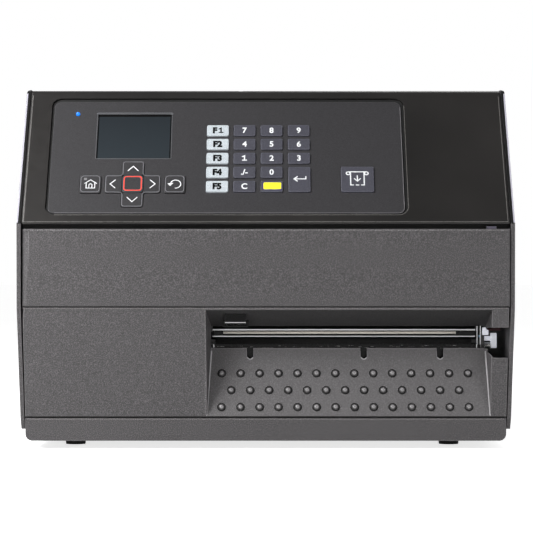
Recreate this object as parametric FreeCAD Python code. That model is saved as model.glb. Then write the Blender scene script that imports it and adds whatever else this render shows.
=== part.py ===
import FreeCAD, Part
import math
import os
from FreeCAD import Vector as V, Placement, Rotation

# Desktop industrial label printer (label maker), all sizes in mm.
# While it is being built X runs to the right, Y runs back from the foremost
# plane and Z is up from the floor. At the end everything is shifted by half the
# depth, so the origin is the centre of the footprint on the floor.

# ---------------------------------------------------------------- dimensions
W = 355.0            # overall width
D = 454.0            # overall depth
HX = W / 2.0         # half width
TOP = 262.0          # top of the covers
BEZ_TOP = 261.0      # top of the front bezel
BEZ_BOT = 161.0      # lower edge of the sloping bezel
TILT = 36.0          # bezel leans back from the vertical by this angle
BEZ_BACK = 86.0      # rear edge of the bezel's flat top
REAR_Y = 451.5       # outer face of the rear panel
SIDE_T = 2.9         # side cover thickness
DOOR_T = 3.0         # front door skin
AX_X, AX_Y = -168.8, 5.7      # front door hinge axis
HINGE_X, HINGE_Z = -18.5, 262.0   # side door hinge axis
WALL_X0, WALL_X1 = -46.0, -43.0   # centre wall
PLATEN_Y, PLATEN_Z, PLATEN_R = 44.0, 70.0, 10.0
KEY_TRAVEL = 0.8
NOTCH_X = 158.4      # left end of the notch in the door's right edge

S36 = math.sin(math.radians(TILT))
C36 = math.cos(math.radians(TILT))
SLOPE_L = (BEZ_TOP - BEZ_BOT) / C36
BEZ_Y0 = 0.5
BEZ_Y1 = BEZ_Y0 + SLOPE_L * S36

OUT = {}


def box(x0, x1, y0, y1, z0, z1):
    return Part.makeBox(x1 - x0, y1 - y0, z1 - z0, V(x0, y0, z0))


def fuse(*shapes):
    s = shapes[0]
    if len(shapes) > 1:
        s = s.multiFuse(list(shapes[1:]))
    return s.removeSplitter()


def cut(s, *tools):
    for t in tools:
        s = s.cut(t)
    return s


def prism_x(pts, x0, x1):
    """closed polygon of (y, z) pairs extruded along X"""
    p = [V(x0, y, z) for y, z in pts]
    p.append(p[0])
    return Part.Face(Part.makePolygon(p)).extrude(V(x1 - x0, 0, 0))


def prism_y(pts, y0, y1):
    """closed polygon of (x, z) pairs extruded along Y"""
    p = [V(x, y0, z) for x, z in pts]
    p.append(p[0])
    return Part.Face(Part.makePolygon(p)).extrude(V(0, y1 - y0, 0))


def prism_z(pts, z0, z1):
    p = [V(x, y, z0) for x, y in pts]
    p.append(p[0])
    return Part.Face(Part.makePolygon(p)).extrude(V(0, 0, z1 - z0))


def cyl(r, h, p, d):
    return Part.makeCylinder(r, h, V(*p), V(*d))


def rrect(x0, x1, y0, y1, z0, z1, r):
    """plate with rounded corners, standing along Z"""
    s = box(x0, x1, y0, y1, z0, z1)
    e = [k for k in s.Edges if abs(k.Vertexes[0].Z - k.Vertexes[1].Z) > 1e-6]
    return s.makeFillet(r, e)


def chamfer_top(s, d):
    zt = s.BoundBox.ZMax
    e = [k for k in s.Edges if abs(k.BoundBox.ZMin - zt) < 1e-6 and abs(k.BoundBox.ZMax - zt) < 1e-6]
    try:
        return s.makeFillet(d, e)
    except Exception:
        return s


SLOPE = Placement(V(0, BEZ_Y0, BEZ_BOT), Rotation(V(1, 0, 0), 90.0 - TILT))


def on_slope(s):
    """from panel space (x across, y up the slope, z out of it) to the model"""
    s = s.copy()
    s.Placement = SLOPE.multiply(s.Placement)
    return s


def keep(name, s):
    s = s.copy()
    s.translate(V(0, -D / 2.0, 0))
    OUT[name] = s


# ------------------------------------------------- front profile of the covers
FRONT = [(14.0, 14.0), (9.5, 22.0), (2.2, 101.5), (1.2, 157.0), (1.6, 161.0),
         (BEZ_Y1 + 0.8, BEZ_TOP), (BEZ_Y1 + 4.0, TOP)]


def cover_side(sign):
    """one side plate: follows the front profile, tapers inward at its foot"""
    prof = FRONT + [(REAR_Y, TOP), (REAR_Y, 14.0)]
    lo, hi = sorted((sign * (HX + 1), sign * 165.0))
    s = prism_x(prof, lo, hi)
    band = [(HX, TOP + 1), (HX, 100.0), (HX - 2.2, 13.0), (HX - 2.2 - SIDE_T + 0.2, 13.0),
            (HX - SIDE_T, 100.0), (HX - SIDE_T, TOP + 1)]
    band = prism_y([(sign * x, z) for x, z in band], -1, D + 1)
    return s.common(band)


# ------------------------------------------------------------------ left cover
left = cover_side(-1)
top = box(-HX, -20.0, BEZ_BACK + 0.5, REAR_Y, TOP - 3.0, TOP)
left = fuse(left, top)
# round the long top edge of the shell
e = [k for k in left.Edges if abs(k.BoundBox.XMin + HX) < 1e-6 and abs(k.BoundBox.XMax + HX) < 1e-6
     and abs(k.BoundBox.ZMin - TOP) < 1e-6 and k.Length > 300]
left = left.makeFillet(2.6, e)
vents = []
for row in (60.0, 84.0):
    for i in range(9):
        yy = 250.0 + i * 18.0
        vents.append(box(-HX - 2, -HX + 6, yy, yy + 7.0, row, row + 16.0))
left = cut(left, *vents)
RELIEF = cyl(2.8, 294.0, (HINGE_X, 135.0, HINGE_Z), (0, 1, 0))
left = cut(left, RELIEF)
keep("left_cover", left)

# ---------------------------------------------------- side door (right + top)
sd = cover_side(1)
dtop = box(-17.0, HX, BEZ_BACK + 0.5, REAR_Y, TOP - 3.0, TOP)
sd = fuse(sd, dtop)
e = [k for k in sd.Edges if abs(k.BoundBox.XMin - HX) < 1e-6 and abs(k.BoundBox.XMax - HX) < 1e-6
     and abs(k.BoundBox.ZMin - TOP) < 1e-6 and k.Length > 300]
sd = sd.makeFillet(2.6, e)
WIN = (150.0, 345.0, 112.0, 232.0)     # window opening y0, y1, z0, z1
win_cut = box(HX - 10, HX + 5, WIN[0], WIN[1], WIN[2], WIN[3])
ew = [k for k in win_cut.Edges if abs(k.BoundBox.YMin - k.BoundBox.YMax) < 1e-6 and
      abs(k.BoundBox.ZMin - k.BoundBox.ZMax) < 1e-6]
win_cut = win_cut.makeFillet(12.0, ew)
sd = cut(sd, win_cut)
# three hinge knuckles on the door, standing on its top edge
KN = [(140.0, 160.0), (262.0, 282.0), (404.0, 424.0)]    # door knuckles along Y
LN = [(161.0, 176.0), (246.0, 261.0), (283.0, 298.0), (388.0, 403.0)]  # fixed knuckles
HR = 2.4
sd = cut(sd, RELIEF)
for a, b in KN:
    k = fuse(cyl(HR, b - a, (HINGE_X, a, HINGE_Z), (0, 1, 0)),
             prism_y([(HINGE_X + 0.6, HINGE_Z + 0.2), (-17.0, HINGE_Z - 1.0), (-12.0, HINGE_Z - 1.0),
                      (-12.0, HINGE_Z + 0.3), (HINGE_X + 1.0, HINGE_Z + 2.0)], a, b))
    sd = fuse(sd, k)
    sd = cut(sd, cyl(1.25, b - a + 2, (HINGE_X, a - 1, HINGE_Z), (0, 1, 0)))
# shallow finger pull under the lower front corner of the side plate
sd = cut(sd, box(HX - 1.6, HX + 2, 120.0, 180.0, 26.0, 34.0))
keep("side_door", sd)

wz = box(HX - SIDE_T - 2.0, HX - SIDE_T, WIN[0] - 9, WIN[1] + 9, WIN[2] - 9, WIN[3] + 9)
keep("side_door_window", wz)

# fixed leaf, knuckles and pins of the side door's hinge
leaf = box(-34.0, HINGE_X - 2.6, 120.0, 440.0, TOP, TOP + 0.9)
hp = [leaf]
for a, b in LN:
    k = fuse(cyl(HR, b - a, (HINGE_X, a, HINGE_Z), (0, 1, 0)),
             prism_y([(HINGE_X - 0.3, HINGE_Z + 0.1), (HINGE_X - 4.0, HINGE_Z + 0.02),
                      (HINGE_X - 4.0, HINGE_Z + 0.9), (HINGE_X - 0.6, HINGE_Z + 2.2)], a, b))
    hp.append(k)
hinge = fuse(*hp)
for a, b in ((140.2, 176.0), (246.0, 298.0), (388.0, 423.8)):
    hinge = fuse(hinge, cyl(1.2, b - a, (HINGE_X, a, HINGE_Z), (0, 1, 0)))
# the fixed knuckles must not reach into the two cover tops beneath them
hinge = cut(hinge, box(-60.0, -20.0, 100.0, 445.0, TOP - 4, TOP))
keep("top_hinge", hinge)

# ---------------------------------------------------------------- front bezel
bez = [(BEZ_Y0, BEZ_BOT), (BEZ_Y1, BEZ_TOP), (BEZ_BACK, BEZ_TOP), (BEZ_BACK, BEZ_TOP - 3.0)]
inn = 3.5
iy, iz = BEZ_Y0 + inn * C36, BEZ_BOT - inn * S36


def inner_y(z):
    return iy + (z - iz) * math.tan(math.radians(TILT))


bez += [(inner_y(BEZ_TOP - 3.0), BEZ_TOP - 3.0), (inner_y(164.0), 164.0), (16.5, 164.0),
        (16.5, 150.0), (14.2, 150.0), (14.2, 160.4)]
LIP_Y = BEZ_Y0 + (160.4 - BEZ_BOT) * math.tan(math.radians(TILT))
bez[0] = (LIP_Y, 160.4)
bezel = prism_x(bez, -174.4, 174.4)
ef = [k for k in bezel.Edges if k.Length > 300 and
      abs(k.BoundBox.YMin - BEZ_Y1) < 1e-4 and abs(k.BoundBox.ZMin - BEZ_TOP) < 1e-4]
bezel = bezel.makeFillet(5.0, ef)
# rolled lower lip, then both long side edges of the slope
el = [k for k in bezel.Edges if k.Length > 300 and
      abs(k.BoundBox.YMin - LIP_Y) < 1e-4 and abs(k.BoundBox.ZMin - 160.4) < 1e-4]
bezel = bezel.makeFillet(1.3, el)
es = [k for k in bezel.Edges if abs(k.BoundBox.XMin - k.BoundBox.XMax) < 1e-6 and k.Length > 80
      and k.BoundBox.ZMax - k.BoundBox.ZMin > 60 and k.BoundBox.YMin < 4.0]
es = [k for k in es if abs((k.BoundBox.YMin - BEZ_Y0) - (k.BoundBox.ZMin - BEZ_BOT) * math.tan(math.radians(TILT))) < 0.05]
try:
    bezel = bezel.makeFillet(1.8, es)
except Exception:
    bezel = bezel.makeChamfer(1.2, es)
# shallow pocket that the console plate lies in, and the hole behind it
C0, C1, CV0, CV1 = -158.0, 101.8, 8.2, 116.4
pocket = on_slope(rrect(C0, C1, CV0, CV1, -2.0, 4.0, 7.0))
hole = on_slope(rrect(C0 + 6, C1 - 6, CV0 + 5, CV1 - 6, -8.0, 4.0, 5.0))
bezel = cut(bezel, pocket, hole)
keep("front_bezel", bezel)

# -------------------------------------------------------------- console plate
P0, P1, PV0, PV1 = -156.0, 99.5, 9.7, 113.2
plate = rrect(P0, P1, PV0, PV1, -2.0, -0.6, 5.0)
KEYS = {}
F_V = [85.5, 72.6, 59.5, 46.5, 33.5]
for i, v in enumerate(F_V):
    KEYS["key_f%d" % (i + 1)] = (-35.1, v, 16.0, 10.0)
for n, v in zip(("key_7", "key_4", "key_1", "key_dot", "key_c"), F_V):
    KEYS[n] = (-15.5, v, 16.0, 10.0)
for n, v in zip(("key_8", "key_5", "key_2", "key_0", "key_shift"), F_V):
    KEYS[n] = (4.2, v, 16.0, 10.0)
for n, v in zip(("key_9", "key_6", "key_3"), F_V):
    KEYS[n] = (24.1, v, 16.0, 10.0)
KEYS["key_enter"] = (24.3, 39.9, 16.0, 22.8)
KEYS["key_print"] = (66.2, 40.0, 23.8, 23.0)
KEYS["key_home"] = (-126.5, 35.6, 15.1, 16.2)
KEYS["key_back"] = (-65.6, 35.6, 14.8, 16.2)
G = 0.35     # gap between a key and its hole
holes = []
for n, (x, v, w, h) in KEYS.items():
    holes.append(rrect(x - w / 2 - G, x + w / 2 + G, v - h / 2 - G, v + h / 2 + G, -3, 1, 1.6))
# the direction cross: two crossing bars with an OK key in the middle
NX, NV = -96.0, 35.8
CROSS_W, CROSS_H, BAR_W, BAR_H = 40.1, 41.8, 15.8, 16.2


def cross(g, z0, z1, r=2.2):
    a = rrect(NX - CROSS_W / 2 - g, NX + CROSS_W / 2 + g, NV - BAR_H / 2 - g, NV + BAR_H / 2 + g, z0, z1, r)
    b = rrect(NX - BAR_W / 2 - g, NX + BAR_W / 2 + g, NV - CROSS_H / 2 - g, NV + CROSS_H / 2 + g, z0, z1, r)
    return a.fuse(b).removeSplitter()


holes.append(cross(G, -3, 1))
LX0, LX1, LV0, LV1 = -123.7, -69.2, 59.8, 103.0
holes.append(rrect(LX0, LX1, LV0, LV1, -3, 1, 1.0))
holes.append(Part.makeCylinder(1.8, 5, V(-138.5, 101.7, -3)))
for h in holes:
    plate = plate.cut(h)
keep("console_plate", on_slope(plate))

# keys: a cap that stands proud of the plate and a flange that keeps it captive
for n, (x, v, w, h) in KEYS.items():
    cap = rrect(x - w / 2, x + w / 2, v - h / 2, v + h / 2, -2.2, 0.4, 1.4)
    cap = chamfer_top(cap, 0.35)
    fl = box(x - w / 2 - 1.0, x + w / 2 + 1.0, v - h / 2 - 1.0, v + h / 2 + 1.0, -3.3, -2.1)
    keep(n, on_slope(fuse(cap, fl)))
OKH = 8.35
nav = cross(0.0, -2.2, 0.1)
nav = chamfer_top(nav, 0.3)
nfl = cross(1.0, -3.3, -2.1, 1.0)
nav = fuse(nav, nfl)
nav = cut(nav, rrect(NX - 8.0, NX + 8.0, NV - OKH, NV + OKH, -2.1, 1.0, 1.2),
          box(NX - 4.3, NX + 4.3, NV - 4.3, NV + 4.3, -4, 1))
keep("key_arrows", on_slope(nav))
ok = chamfer_top(rrect(NX - 7.6, NX + 7.6, NV - OKH + 0.4, NV + OKH - 0.4, -1.1, 0.4, 2.4), 0.35)
ok = fuse(ok, box(NX - 4.0, NX + 4.0, NV - 4.0, NV + 4.0, -3.3, -1.0))
keep("key_ok", on_slope(ok))

# display: clear window lying in the plate's opening, and the module behind it
keep("lcd_window", on_slope(rrect(LX0 + 0.1, LX1 - 0.1, LV0 + 0.1, LV1 - 0.1, -2.0, -1.1, 0.9)))
lcd = rrect(LX0 - 3.0, LX1 + 3.0, LV0 - 1.0, LV1 + 3.0, -7.5, -2.1, 1.0)
led = fuse(Part.makeCylinder(1.5, 2.6, V(-138.5, 101.7, -3.0)), Part.makeSphere(1.5, V(-138.5, 101.7, -0.4)),
           Part.makeCylinder(2.6, 1.2, V(-138.5, 101.7, -4.2)))
keep("status_led", on_slope(led))
kb = fuse(box(-151.0, 94.0, 14.5, 57.5, -6.2, -4.6), box(-58.0, 94.0, 57.5, 108.0, -6.2, -4.6),
          box(-151.0, -130.0, 57.5, 108.0, -6.2, -4.6))
kb = fuse(kb, box(60.0, 82.0, 70.0, 90.0, -9.0, -6.2), box(-20.0, 0.0, 80.0, 100.0, -8.6, -6.2),
          box(-148.0, -136.0, 92.0, 106.0, -4.6, -4.2))
kb = fuse(kb, lcd, box(-100.0, -88.0, 56.0, 60.0, -6.2, -5.2))
keep("console_board", on_slope(kb))

# ------------------------------------------------------------- front door skin
# upper half: almost upright plate under the bezel
door_hi = prism_x([(1.0, 101.9), (0.0, 157.2), (3.2, 157.2), (4.0, 101.9)], -174.0, 174.0)
edge_l = prism_z([(-176, -2), (-176, 5.7), (-168.8, 5.7), (-168.8, -2)], 95, 165)
edge_l = edge_l.cut(cyl(5.2, 80, (AX_X, AX_Y, 90), (0, 0, 1)))
door_hi = door_hi.cut(edge_l)
er = [k for k in door_hi.Edges if abs(k.BoundBox.XMin - 174.0) < 1e-4 and abs(k.BoundBox.XMax - 174.0) < 1e-4
      and k.Length > 40 and k.BoundBox.YMin < 0.5]
door_hi = door_hi.makeFillet(1.2, er)
# hinge knuckles of the door, on the inner left edge
KNR = 2.3
DK = [(104.0, 112.0), (124.0, 132.0), (142.0, 150.0)]
for a, b in DK:
    arm = prism_z([(AX_X - 1.6, 3.4), (AX_X + 6.0, 3.4), (AX_X + 2.0, AX_Y + 0.5), (AX_X - 1.9, AX_Y + 0.5)], a, b)
    door_hi = fuse(door_hi, arm, cyl(KNR, b - a, (AX_X, AX_Y, a), (0, 0, 1)))
door_hi = cut(door_hi, cyl(1.25, 70, (AX_X, AX_Y, 100.0), (0, 0, 1)))
for za, zb in ((112.2, 123.8), (132.2, 141.8)):
    door_hi = cut(door_hi, cyl(2.65, zb - za, (AX_X, AX_Y, za), (0, 0, 1)))
# stiffening ribs behind the skin and the catch that shows in the gap
for x in (-120.0, -40.0, 40.0, 120.0):
    door_hi = fuse(door_hi, box(x - 1.2, x + 1.2, 3.0, 9.0, 103.0, 155.0))
catch = box(157.3, 164.4, 3.0, 9.0, 150.0, 159.2)
door_hi = fuse(door_hi, box(156.0, 166.0, 3.0, 7.0, 146.0, 155.0), catch)
keep("door_upper_panel", door_hi)

# lower half: leans back to the foot and carries the label outlet
LO_T = [(1.6, 101.3), (4.8, 101.3)]


def low_front_y(z):
    """front face of the lower panel at height z"""
    return 1.6 + (101.3 - z) * (9.0 - 1.6) / (101.3 - 23.0)


low = prism_x([(1.6, 101.3), (9.0, 23.0), (12.2, 23.0), (4.8, 101.3)], -173.6, 173.6)
side_trim = prism_y([(173.3, 102), (172.0, 22), (180, 22), (180, 102)], -2, 20)
low = cut(low, side_trim, side_trim.mirror(V(0, 0, 0), V(1, 0, 0)))
lcut = prism_z([(-178, -2), (-178, 5.7), (-168.8, 5.7), (-168.8, -2)], 20, 103)
lcut = lcut.cut(cyl(5.0, 100, (AX_X, AX_Y, 10), (0, 0, 1)))
low = low.cut(lcut)


def loft(p, q):
    """ruled solid between two matching closed polygons"""
    def wire(pts):
        w = [V(*k) for k in pts]
        w.append(w[0])
        return Part.makePolygon(w)
    return Part.makeLoft([wire(p), wire(q)], True, True)


yF, yB = -1.0, 26.0


def recess(grow, y0, y1):
    """tapering funnel from the front face to the outlet slot"""
    def ring(y):
        t = (y - 2.0) / (25.0 - 2.0)
        xl = -42.9 + 3.3 * t
        xr = 161.3 - 2.2 * t
        zt = 99.5 - 11.6 * t
        return xl - grow, xr + grow, zt + grow
    # bottom edge starts low on the leaning front face and climbs to the slot
    def zb(y):
        return 23.6 + (y - 8.9) * (69.5 - 23.6) / (25.0 - 8.9)
    a = ring(y0)
    b = ring(y1)
    g = grow * 3.0
    p = [(a[0], y0, zb(y0) - g), (a[1], y0, zb(y0) - g), (a[1], y0, a[2]), (a[0], y0, a[2])]
    q = [(b[0], y1, zb(y1) - g), (b[1], y1, zb(y1) - g), (b[1], y1, b[2]), (b[0], y1, b[2])]
    return loft(p, q)


inner = recess(0.0, yF, 27.0)
outer = recess(2.2, 2.0, 25.8)
# the funnel's wall is the grown shape less the inner one, kept behind the front
behind = prism_x([(1.7, 101.3), (9.1, 23.0), (25.8, 23.0), (25.8, 101.3)], -173.0, 173.0)
outer = outer.common(behind)
low = fuse(low, outer)
low = low.cut(inner)
# slots in the upper edge of the ramp
for x in (-11.3, 70.7, 125.8):
    sl = fuse(box(x - 2.35, x + 2.35, 15, 30, 65.7, 75), cyl(2.35, 15, (x, 15, 65.7), (0, 1, 0)))
    low = low.cut(sl)
# notch in the right edge, open to the side
notch = prism_y([(NOTCH_X, 71.0), (162.2, 65.3), (180, 65.3), (180, 87.0), (160.0, 87.0), (NOTCH_X, 84.0)], -2, 30)
low = low.cut(notch)
# screw bosses joining both halves from behind
for x in (-150.0, -80.0, 166.0):
    low = fuse(low, box(x - 3, x + 3, 4.4, 9.0, 90.0, 101.3))
# lip that closes the seam to the upper half from behind
low = fuse(low, box(-158.0, 171.0, 4.3, 6.2, 98.5, 102.8))
# 41 small domes on the ramp keep sticky labels from clinging; each stands in a ring groove
ramp_a = V(0, 8.9, 23.6)
ramp_d = V(0, 25.0 - 8.9, 69.5 - 23.6)
ramp_n = V(0, -ramp_d.z, ramp_d.y).normalize()
DR, DH = 2.35, 1.55
GR, GD = 3.15, 0.5
SR = (DR * DR + DH * DH) / (2 * DH)
domes = []
for row, (x0, z, n) in enumerate(((-31.7, 53.6, 14), (-24.8, 41.7, 13), (-31.7, 29.8, 14))):
    for i in range(n):
        x = x0 + i * 13.63
        y = ramp_a.y + (z - ramp_a.z) * ramp_d.y / ramp_d.z
        c = V(x, y, z) + ramp_n * (DH - SR)
        domes.append((x, y, z))
        low = low.cut(Part.makeCylinder(GR, 2.0, V(x, y, z) - ramp_n * GD, ramp_n))
        low = low.fuse(Part.makeSphere(SR, c).common(
            Part.makeCylinder(DR, DH + 1.6, V(x, y, z) - ramp_n * (GD + 0.3), ramp_n)))
keep("door_lower_panel", low)

# label-taken sensor hanging from the hood
sens = fuse(prism_x([(7.4, 90.5), (9.0, 89.6), (17.0, 87.6), (25.0, 87.6), (25.0, 102.0), (7.4, 102.0)], -29.3, -14.1),
            box(-30.7, -12.3, 17.0, 25.0, 86.9, 102.0))
hood = recess(0.0, yF, 27.0).common(box(-60.0, 180.0, 0.0, 25.4, 80.0, 102.0))
sens = sens.common(hood)
keep("label_taken_sensor", sens)

# fixed hinge bracket of the front door: arms from the frame and one long pin
br = []
for a, b in ((112.4, 123.6), (132.4, 141.6)):
    br.append(cyl(KNR, b - a, (AX_X, AX_Y, a), (0, 0, 1)))
    br.append(prism_z([(AX_X - 0.2, AX_Y - 0.4), (AX_X + 2.2, AX_Y - 0.4), (AX_X + 4.0, 13.6), (AX_X + 4.0, 22.0),
                       (AX_X + 1.0, 22.0), (AX_X - 1.6, AX_Y + 1.6)], a, b))
br.append(box(AX_X + 1.0, AX_X + 4.0, 20.0, 34.0, 108.0, 146.0))
br.append(box(-171.5, AX_X + 4.0, 30.0, 34.0, 11.0, 146.0))
bracket = fuse(*br)
bracket = fuse(bracket, cyl(1.2, 46.0, (AX_X, AX_Y, 104.0), (0, 0, 1)))
keep("door_hinge_bracket", bracket)

# ------------------------------------------------------------------ front skirt
sk = box(-172.0, 172.0, 9.0, 12.0, 5.8, 22.2)
ek = [k for k in sk.Edges if abs(k.BoundBox.ZMax - 5.8) < 1e-6 and abs(k.BoundBox.XMin - k.BoundBox.XMax) < 1e-6]
ek = [k for k in sk.Edges if abs(k.BoundBox.XMin - k.BoundBox.XMax) < 1e-6 and abs(k.BoundBox.ZMin - k.BoundBox.ZMax) < 1e-6
      and k.BoundBox.ZMin < 6.0]
sk = sk.makeFillet(5.0, ek)
et = [k for k in sk.Edges if abs(k.BoundBox.ZMin - 22.2) < 1e-6 and k.Length > 300 and k.BoundBox.YMin < 9.5]
sk = sk.makeFillet(1.0, et)
sk = fuse(sk, box(-168.0, 168.0, 12.0, 18.0, 8.0, 11.0))
# lips that close the seam under the door from behind
for a, b in ((-163.0, -56.0), (165.4, 170.0)):
    sk = fuse(sk, box(a, b, 11.5, 14.0, 15.0, 21.6), box(a, b, 12.8, 14.0, 15.0, 26.0))
keep("front_skirt", sk)

# --------------------------------------------------------------------- chassis
pan = box(-171.4, 171.4, 18.0, 449.0, 8.0, 11.0)
keep("base_pan", pan)

wall = prism_x([(30.0, 11.0), (30.0, 168.0), (94.0, 254.0), (94.0, 258.6), (449.0, 258.6), (449.0, 11.0)], WALL_X0, WALL_X1)
wall = cut(wall, cyl(4.06, 10, (WALL_X0 - 3, PLATEN_Y, PLATEN_Z), (1, 0, 0)))
SUP = (215.0, 200.0)     # ribbon supply spindle y, z
REW = (140.0, 205.0)     # ribbon rewind spindle y, z
HUB = (330.0, 128.0)     # media hub y, z
for y, z in (SUP, REW):
    wall = cut(wall, cyl(5.06, 10, (WALL_X0 - 3, y, z), (1, 0, 0)))
wall = cut(wall, box(WALL_X0 - 1, WALL_X1 + 1, 395.0, 420.0, 200.0, 230.0))
keep("center_wall", wall)

# rear panel with the fanfold slot, the inlet and the interface cut-outs
rear = box(-172.0, 172.0, 449.0, REAR_Y, 11.0, 258.6)
SLOT = (-24.0, 150.0, 60.0, 74.0)
rear = cut(rear, box(SLOT[0], SLOT[1], 440, 460, SLOT[2], SLOT[3]))
INL = (-150.0, -122.0, 30.0, 50.0)
SWI = (-112.0, -98.0, 30.0, 50.0)
rear = cut(rear, box(INL[0], INL[1], 440, 460, INL[2], INL[3]), box(SWI[0], SWI[1], 440, 460, SWI[2], SWI[3]))
PORTS = [(-70.0, -57.0, 112.0, 125.0), (-72.0, -57.0, 134.0, 149.0), (-69.0, -57.0, 160.0, 191.0)]
for p in PORTS:
    rear = cut(rear, box(p[0], p[1], 440, 460, p[2], p[3]))
for i in range(7):
    rear = cut(rear, box(-150.0 + i * 14.0, -144.0 + i * 14.0, 440, 460, 180.0, 226.0))
keep("rear_panel", rear)

# feet: four rubber pads
feet = []
for x, y in ((-140.0, 58.0), (134.6, 58.0), (-140.0, 415.0), (134.6, 415.0)):
    f = Part.makeCone(7.2, 7.9, 8.0, V(x, y, 0), V(0, 0, 1))
    feet.append(f)
keep("feet", Part.makeCompound(feet))

# identical pan-head screws that hold the rear panel and the left cover
scr = []
for x, z in ((-164, 20), (-164, 130), (-164, 250), (164, 20), (164, 130), (164, 250), (-60, 250), (-60, 20), (-30, 96)):
    h = Part.makeCylinder(3.4, 1.6, V(x, REAR_Y, z), V(0, 1, 0))
    eo = [k for k in h.Edges if abs(k.BoundBox.YMin - (REAR_Y + 1.6)) < 1e-6 and k.Length > 5]
    h = h.makeFillet(0.9, eo)
    h = cut(h, box(x - 0.45, x + 0.45, REAR_Y + 0.7, REAR_Y + 3, z - 1.9, z + 1.9),
            box(x - 1.9, x + 1.9, REAR_Y + 0.7, REAR_Y + 3, z - 0.45, z + 0.45))
    scr.append(h)
keep("cover_screws", Part.makeCompound(scr))

# ------------------------------------------------------------ print mechanism
# outboard side plate, tie bars and label guide, all carried from the centre wall
OX0, OX1 = 155.5, 158.5
oplate = prism_x([(33.0, 20.0), (33.0, 84.0), (40.0, 92.0), (62.0, 120.0), (118.0, 120.0), (118.0, 20.0)], OX0, OX1)
oplate = cut(oplate, cyl(4.06, 10, (OX0 - 3, PLATEN_Y, PLATEN_Z), (1, 0, 0)))
pf = [oplate,
      cyl(3.0, OX0 - WALL_X1, (WALL_X1, 100.0, 40.0), (1, 0, 0)),
      cyl(3.0, OX0 - WALL_X1, (WALL_X1, 112.0, 78.0), (1, 0, 0)),
      box(WALL_X1, OX0, 56.0, 108.0, 57.0, 59.0),
      box(WALL_X1, OX0, 56.0, 58.0, 30.0, 57.0),
      box(OX0, OX1, 40.0, 110.0, 11.0, 20.0)]
# upper frame beam above the head
pf.append(box(WALL_X1, OX0, 62.0, 68.0, 112.0, 116.0))

# tear bar: bent strip with a fine saw-tooth edge in front of the platen
tb_pts = []
n = 76
x0, x1 = -37.7, 152.6
step = (x1 - x0) / n
tb = [V(x0, 28.0, 69.4)]
zt = 74.0
p = [V(x0, 28.0, 69.4), V(x1, 28.0, 69.4), V(x1, 28.0, zt)]
for i in range(n):
    xa = x1 - i * step
    p.append(V(xa - step / 2, 28.0, zt + 0.7))
    p.append(V(xa - step, 28.0, zt))
p.append(p[0])
blade = Part.Face(Part.makePolygon(p)).extrude(V(0, 1.2, 0))
tear = fuse(blade, box(x0, x1, 29.2, 33.0, 69.4, 70.6), box(x0, x1, 31.4, 33.0, 50.0, 69.4),
            box(WALL_X1, x0 + 0.5, 28.0, 33.0, 50.0, 74.0), box(x1 - 0.5, OX0, 29.0, 33.0, 50.0, 74.0),
            box(WALL_X1, OX0, 33.0, 56.0, 50.0, 52.0))
keep("tear_bar", tear)

# platen roller: rubber sleeve on a steel shaft, toothed pulley on the drive side
rub = cut(cyl(PLATEN_R, 186.0, (-36.5, PLATEN_Y, PLATEN_Z), (1, 0, 0)),
          cyl(5.0, 200.0, (-40.0, PLATEN_Y, PLATEN_Z), (1, 0, 0)))
keep("platen_rubber", rub)
sh = fuse(cyl(5.0, 191.0, (-38.0, PLATEN_Y, PLATEN_Z), (1, 0, 0)),
          cyl(4.0, 232.0, (-70.0, PLATEN_Y, PLATEN_Z), (1, 0, 0)))


def pulley(r, teeth, x0, x1, y, z, bore):
    pts = []
    for i in range(teeth):
        for f, rr in ((0.0, r), (0.45, r), (0.55, r - 0.9), (0.95, r - 0.9)):
            a = 2 * math.pi * (i + f) / teeth
            pts.append((y + rr * math.cos(a), z + rr * math.sin(a)))
    s = prism_x(pts, x0 + 1.0, x1 - 1.0)
    s = fuse(s, cyl(r + 1.2, 1.0, (x0, y, z), (1, 0, 0)), cyl(r + 1.2, 1.0, (x1 - 1.0, y, z), (1, 0, 0)))
    if bore:
        s = cut(s, cyl(bore, x1 - x0 + 2, (x0 - 1, y, z), (1, 0, 0)))
    return s


sh = fuse(sh, pulley(14.0, 36, -66.0, -56.0, PLATEN_Y, PLATEN_Z, None))
keep("platen_shaft", sh)

# print head: heatsink block with the ceramic edge, carried by two arms
HEAD_AX = (98.0, 106.0)
head = fuse(prism_x([(34.6, 84.6), (34.6, 80.6), (44.0, 80.3), (58.0, 82.0), (58.0, 92.0), (40.0, 92.0)], -38.6, 152.0),
            )
for a, b in ((-38.6, -34.0), (148.0, 152.0)):
    head = fuse(head, prism_x([(50.0, 84.0), (50.0, 95.0), (92.0, 111.0), (103.0, 111.0), (103.0, 101.0), (92.0, 97.0), (60.0, 84.0)], a, b))
for i in range(9):
    head = fuse(head, box(-33.0, 147.0, 41.0 + i * 1.8, 41.9 + i * 1.8, 91.8, 95.5))
head = cut(head, cyl(3.06, 210, (-45, HEAD_AX[0], HEAD_AX[1]), (1, 0, 0)))
keep("print_head", head)
# head lift shaft with its lever outboard of the plate
hs = cyl(3.0, 200.0, (WALL_X1, HEAD_AX[0], HEAD_AX[1]), (1, 0, 0))
hs = hs.common(box(WALL_X1, OX0, 0, 300, 0, 300))
pf.append(hs)
frame_s = fuse(*pf)
LEV = (70.0, 104.0)
lever = fuse(cyl(7.0, 4.0, (159.0, LEV[0], LEV[1]), (1, 0, 0)),
             prism_x([(LEV[0] - 4.5, LEV[1]), (LEV[0] - 4.0, LEV[1] + 40), (LEV[0] + 4.0, LEV[1] + 40), (LEV[0] + 4.5, LEV[1])], 159.0, 163.0),
             cyl(6.5, 10.0, (159.0, LEV[0], LEV[1] + 44.0), (1, 0, 0)),
             cyl(2.95, 3.5, (155.8, LEV[0], LEV[1]), (1, 0, 0)))
lever = lever.removeSplitter()
keep("head_lever", lever)
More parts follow.
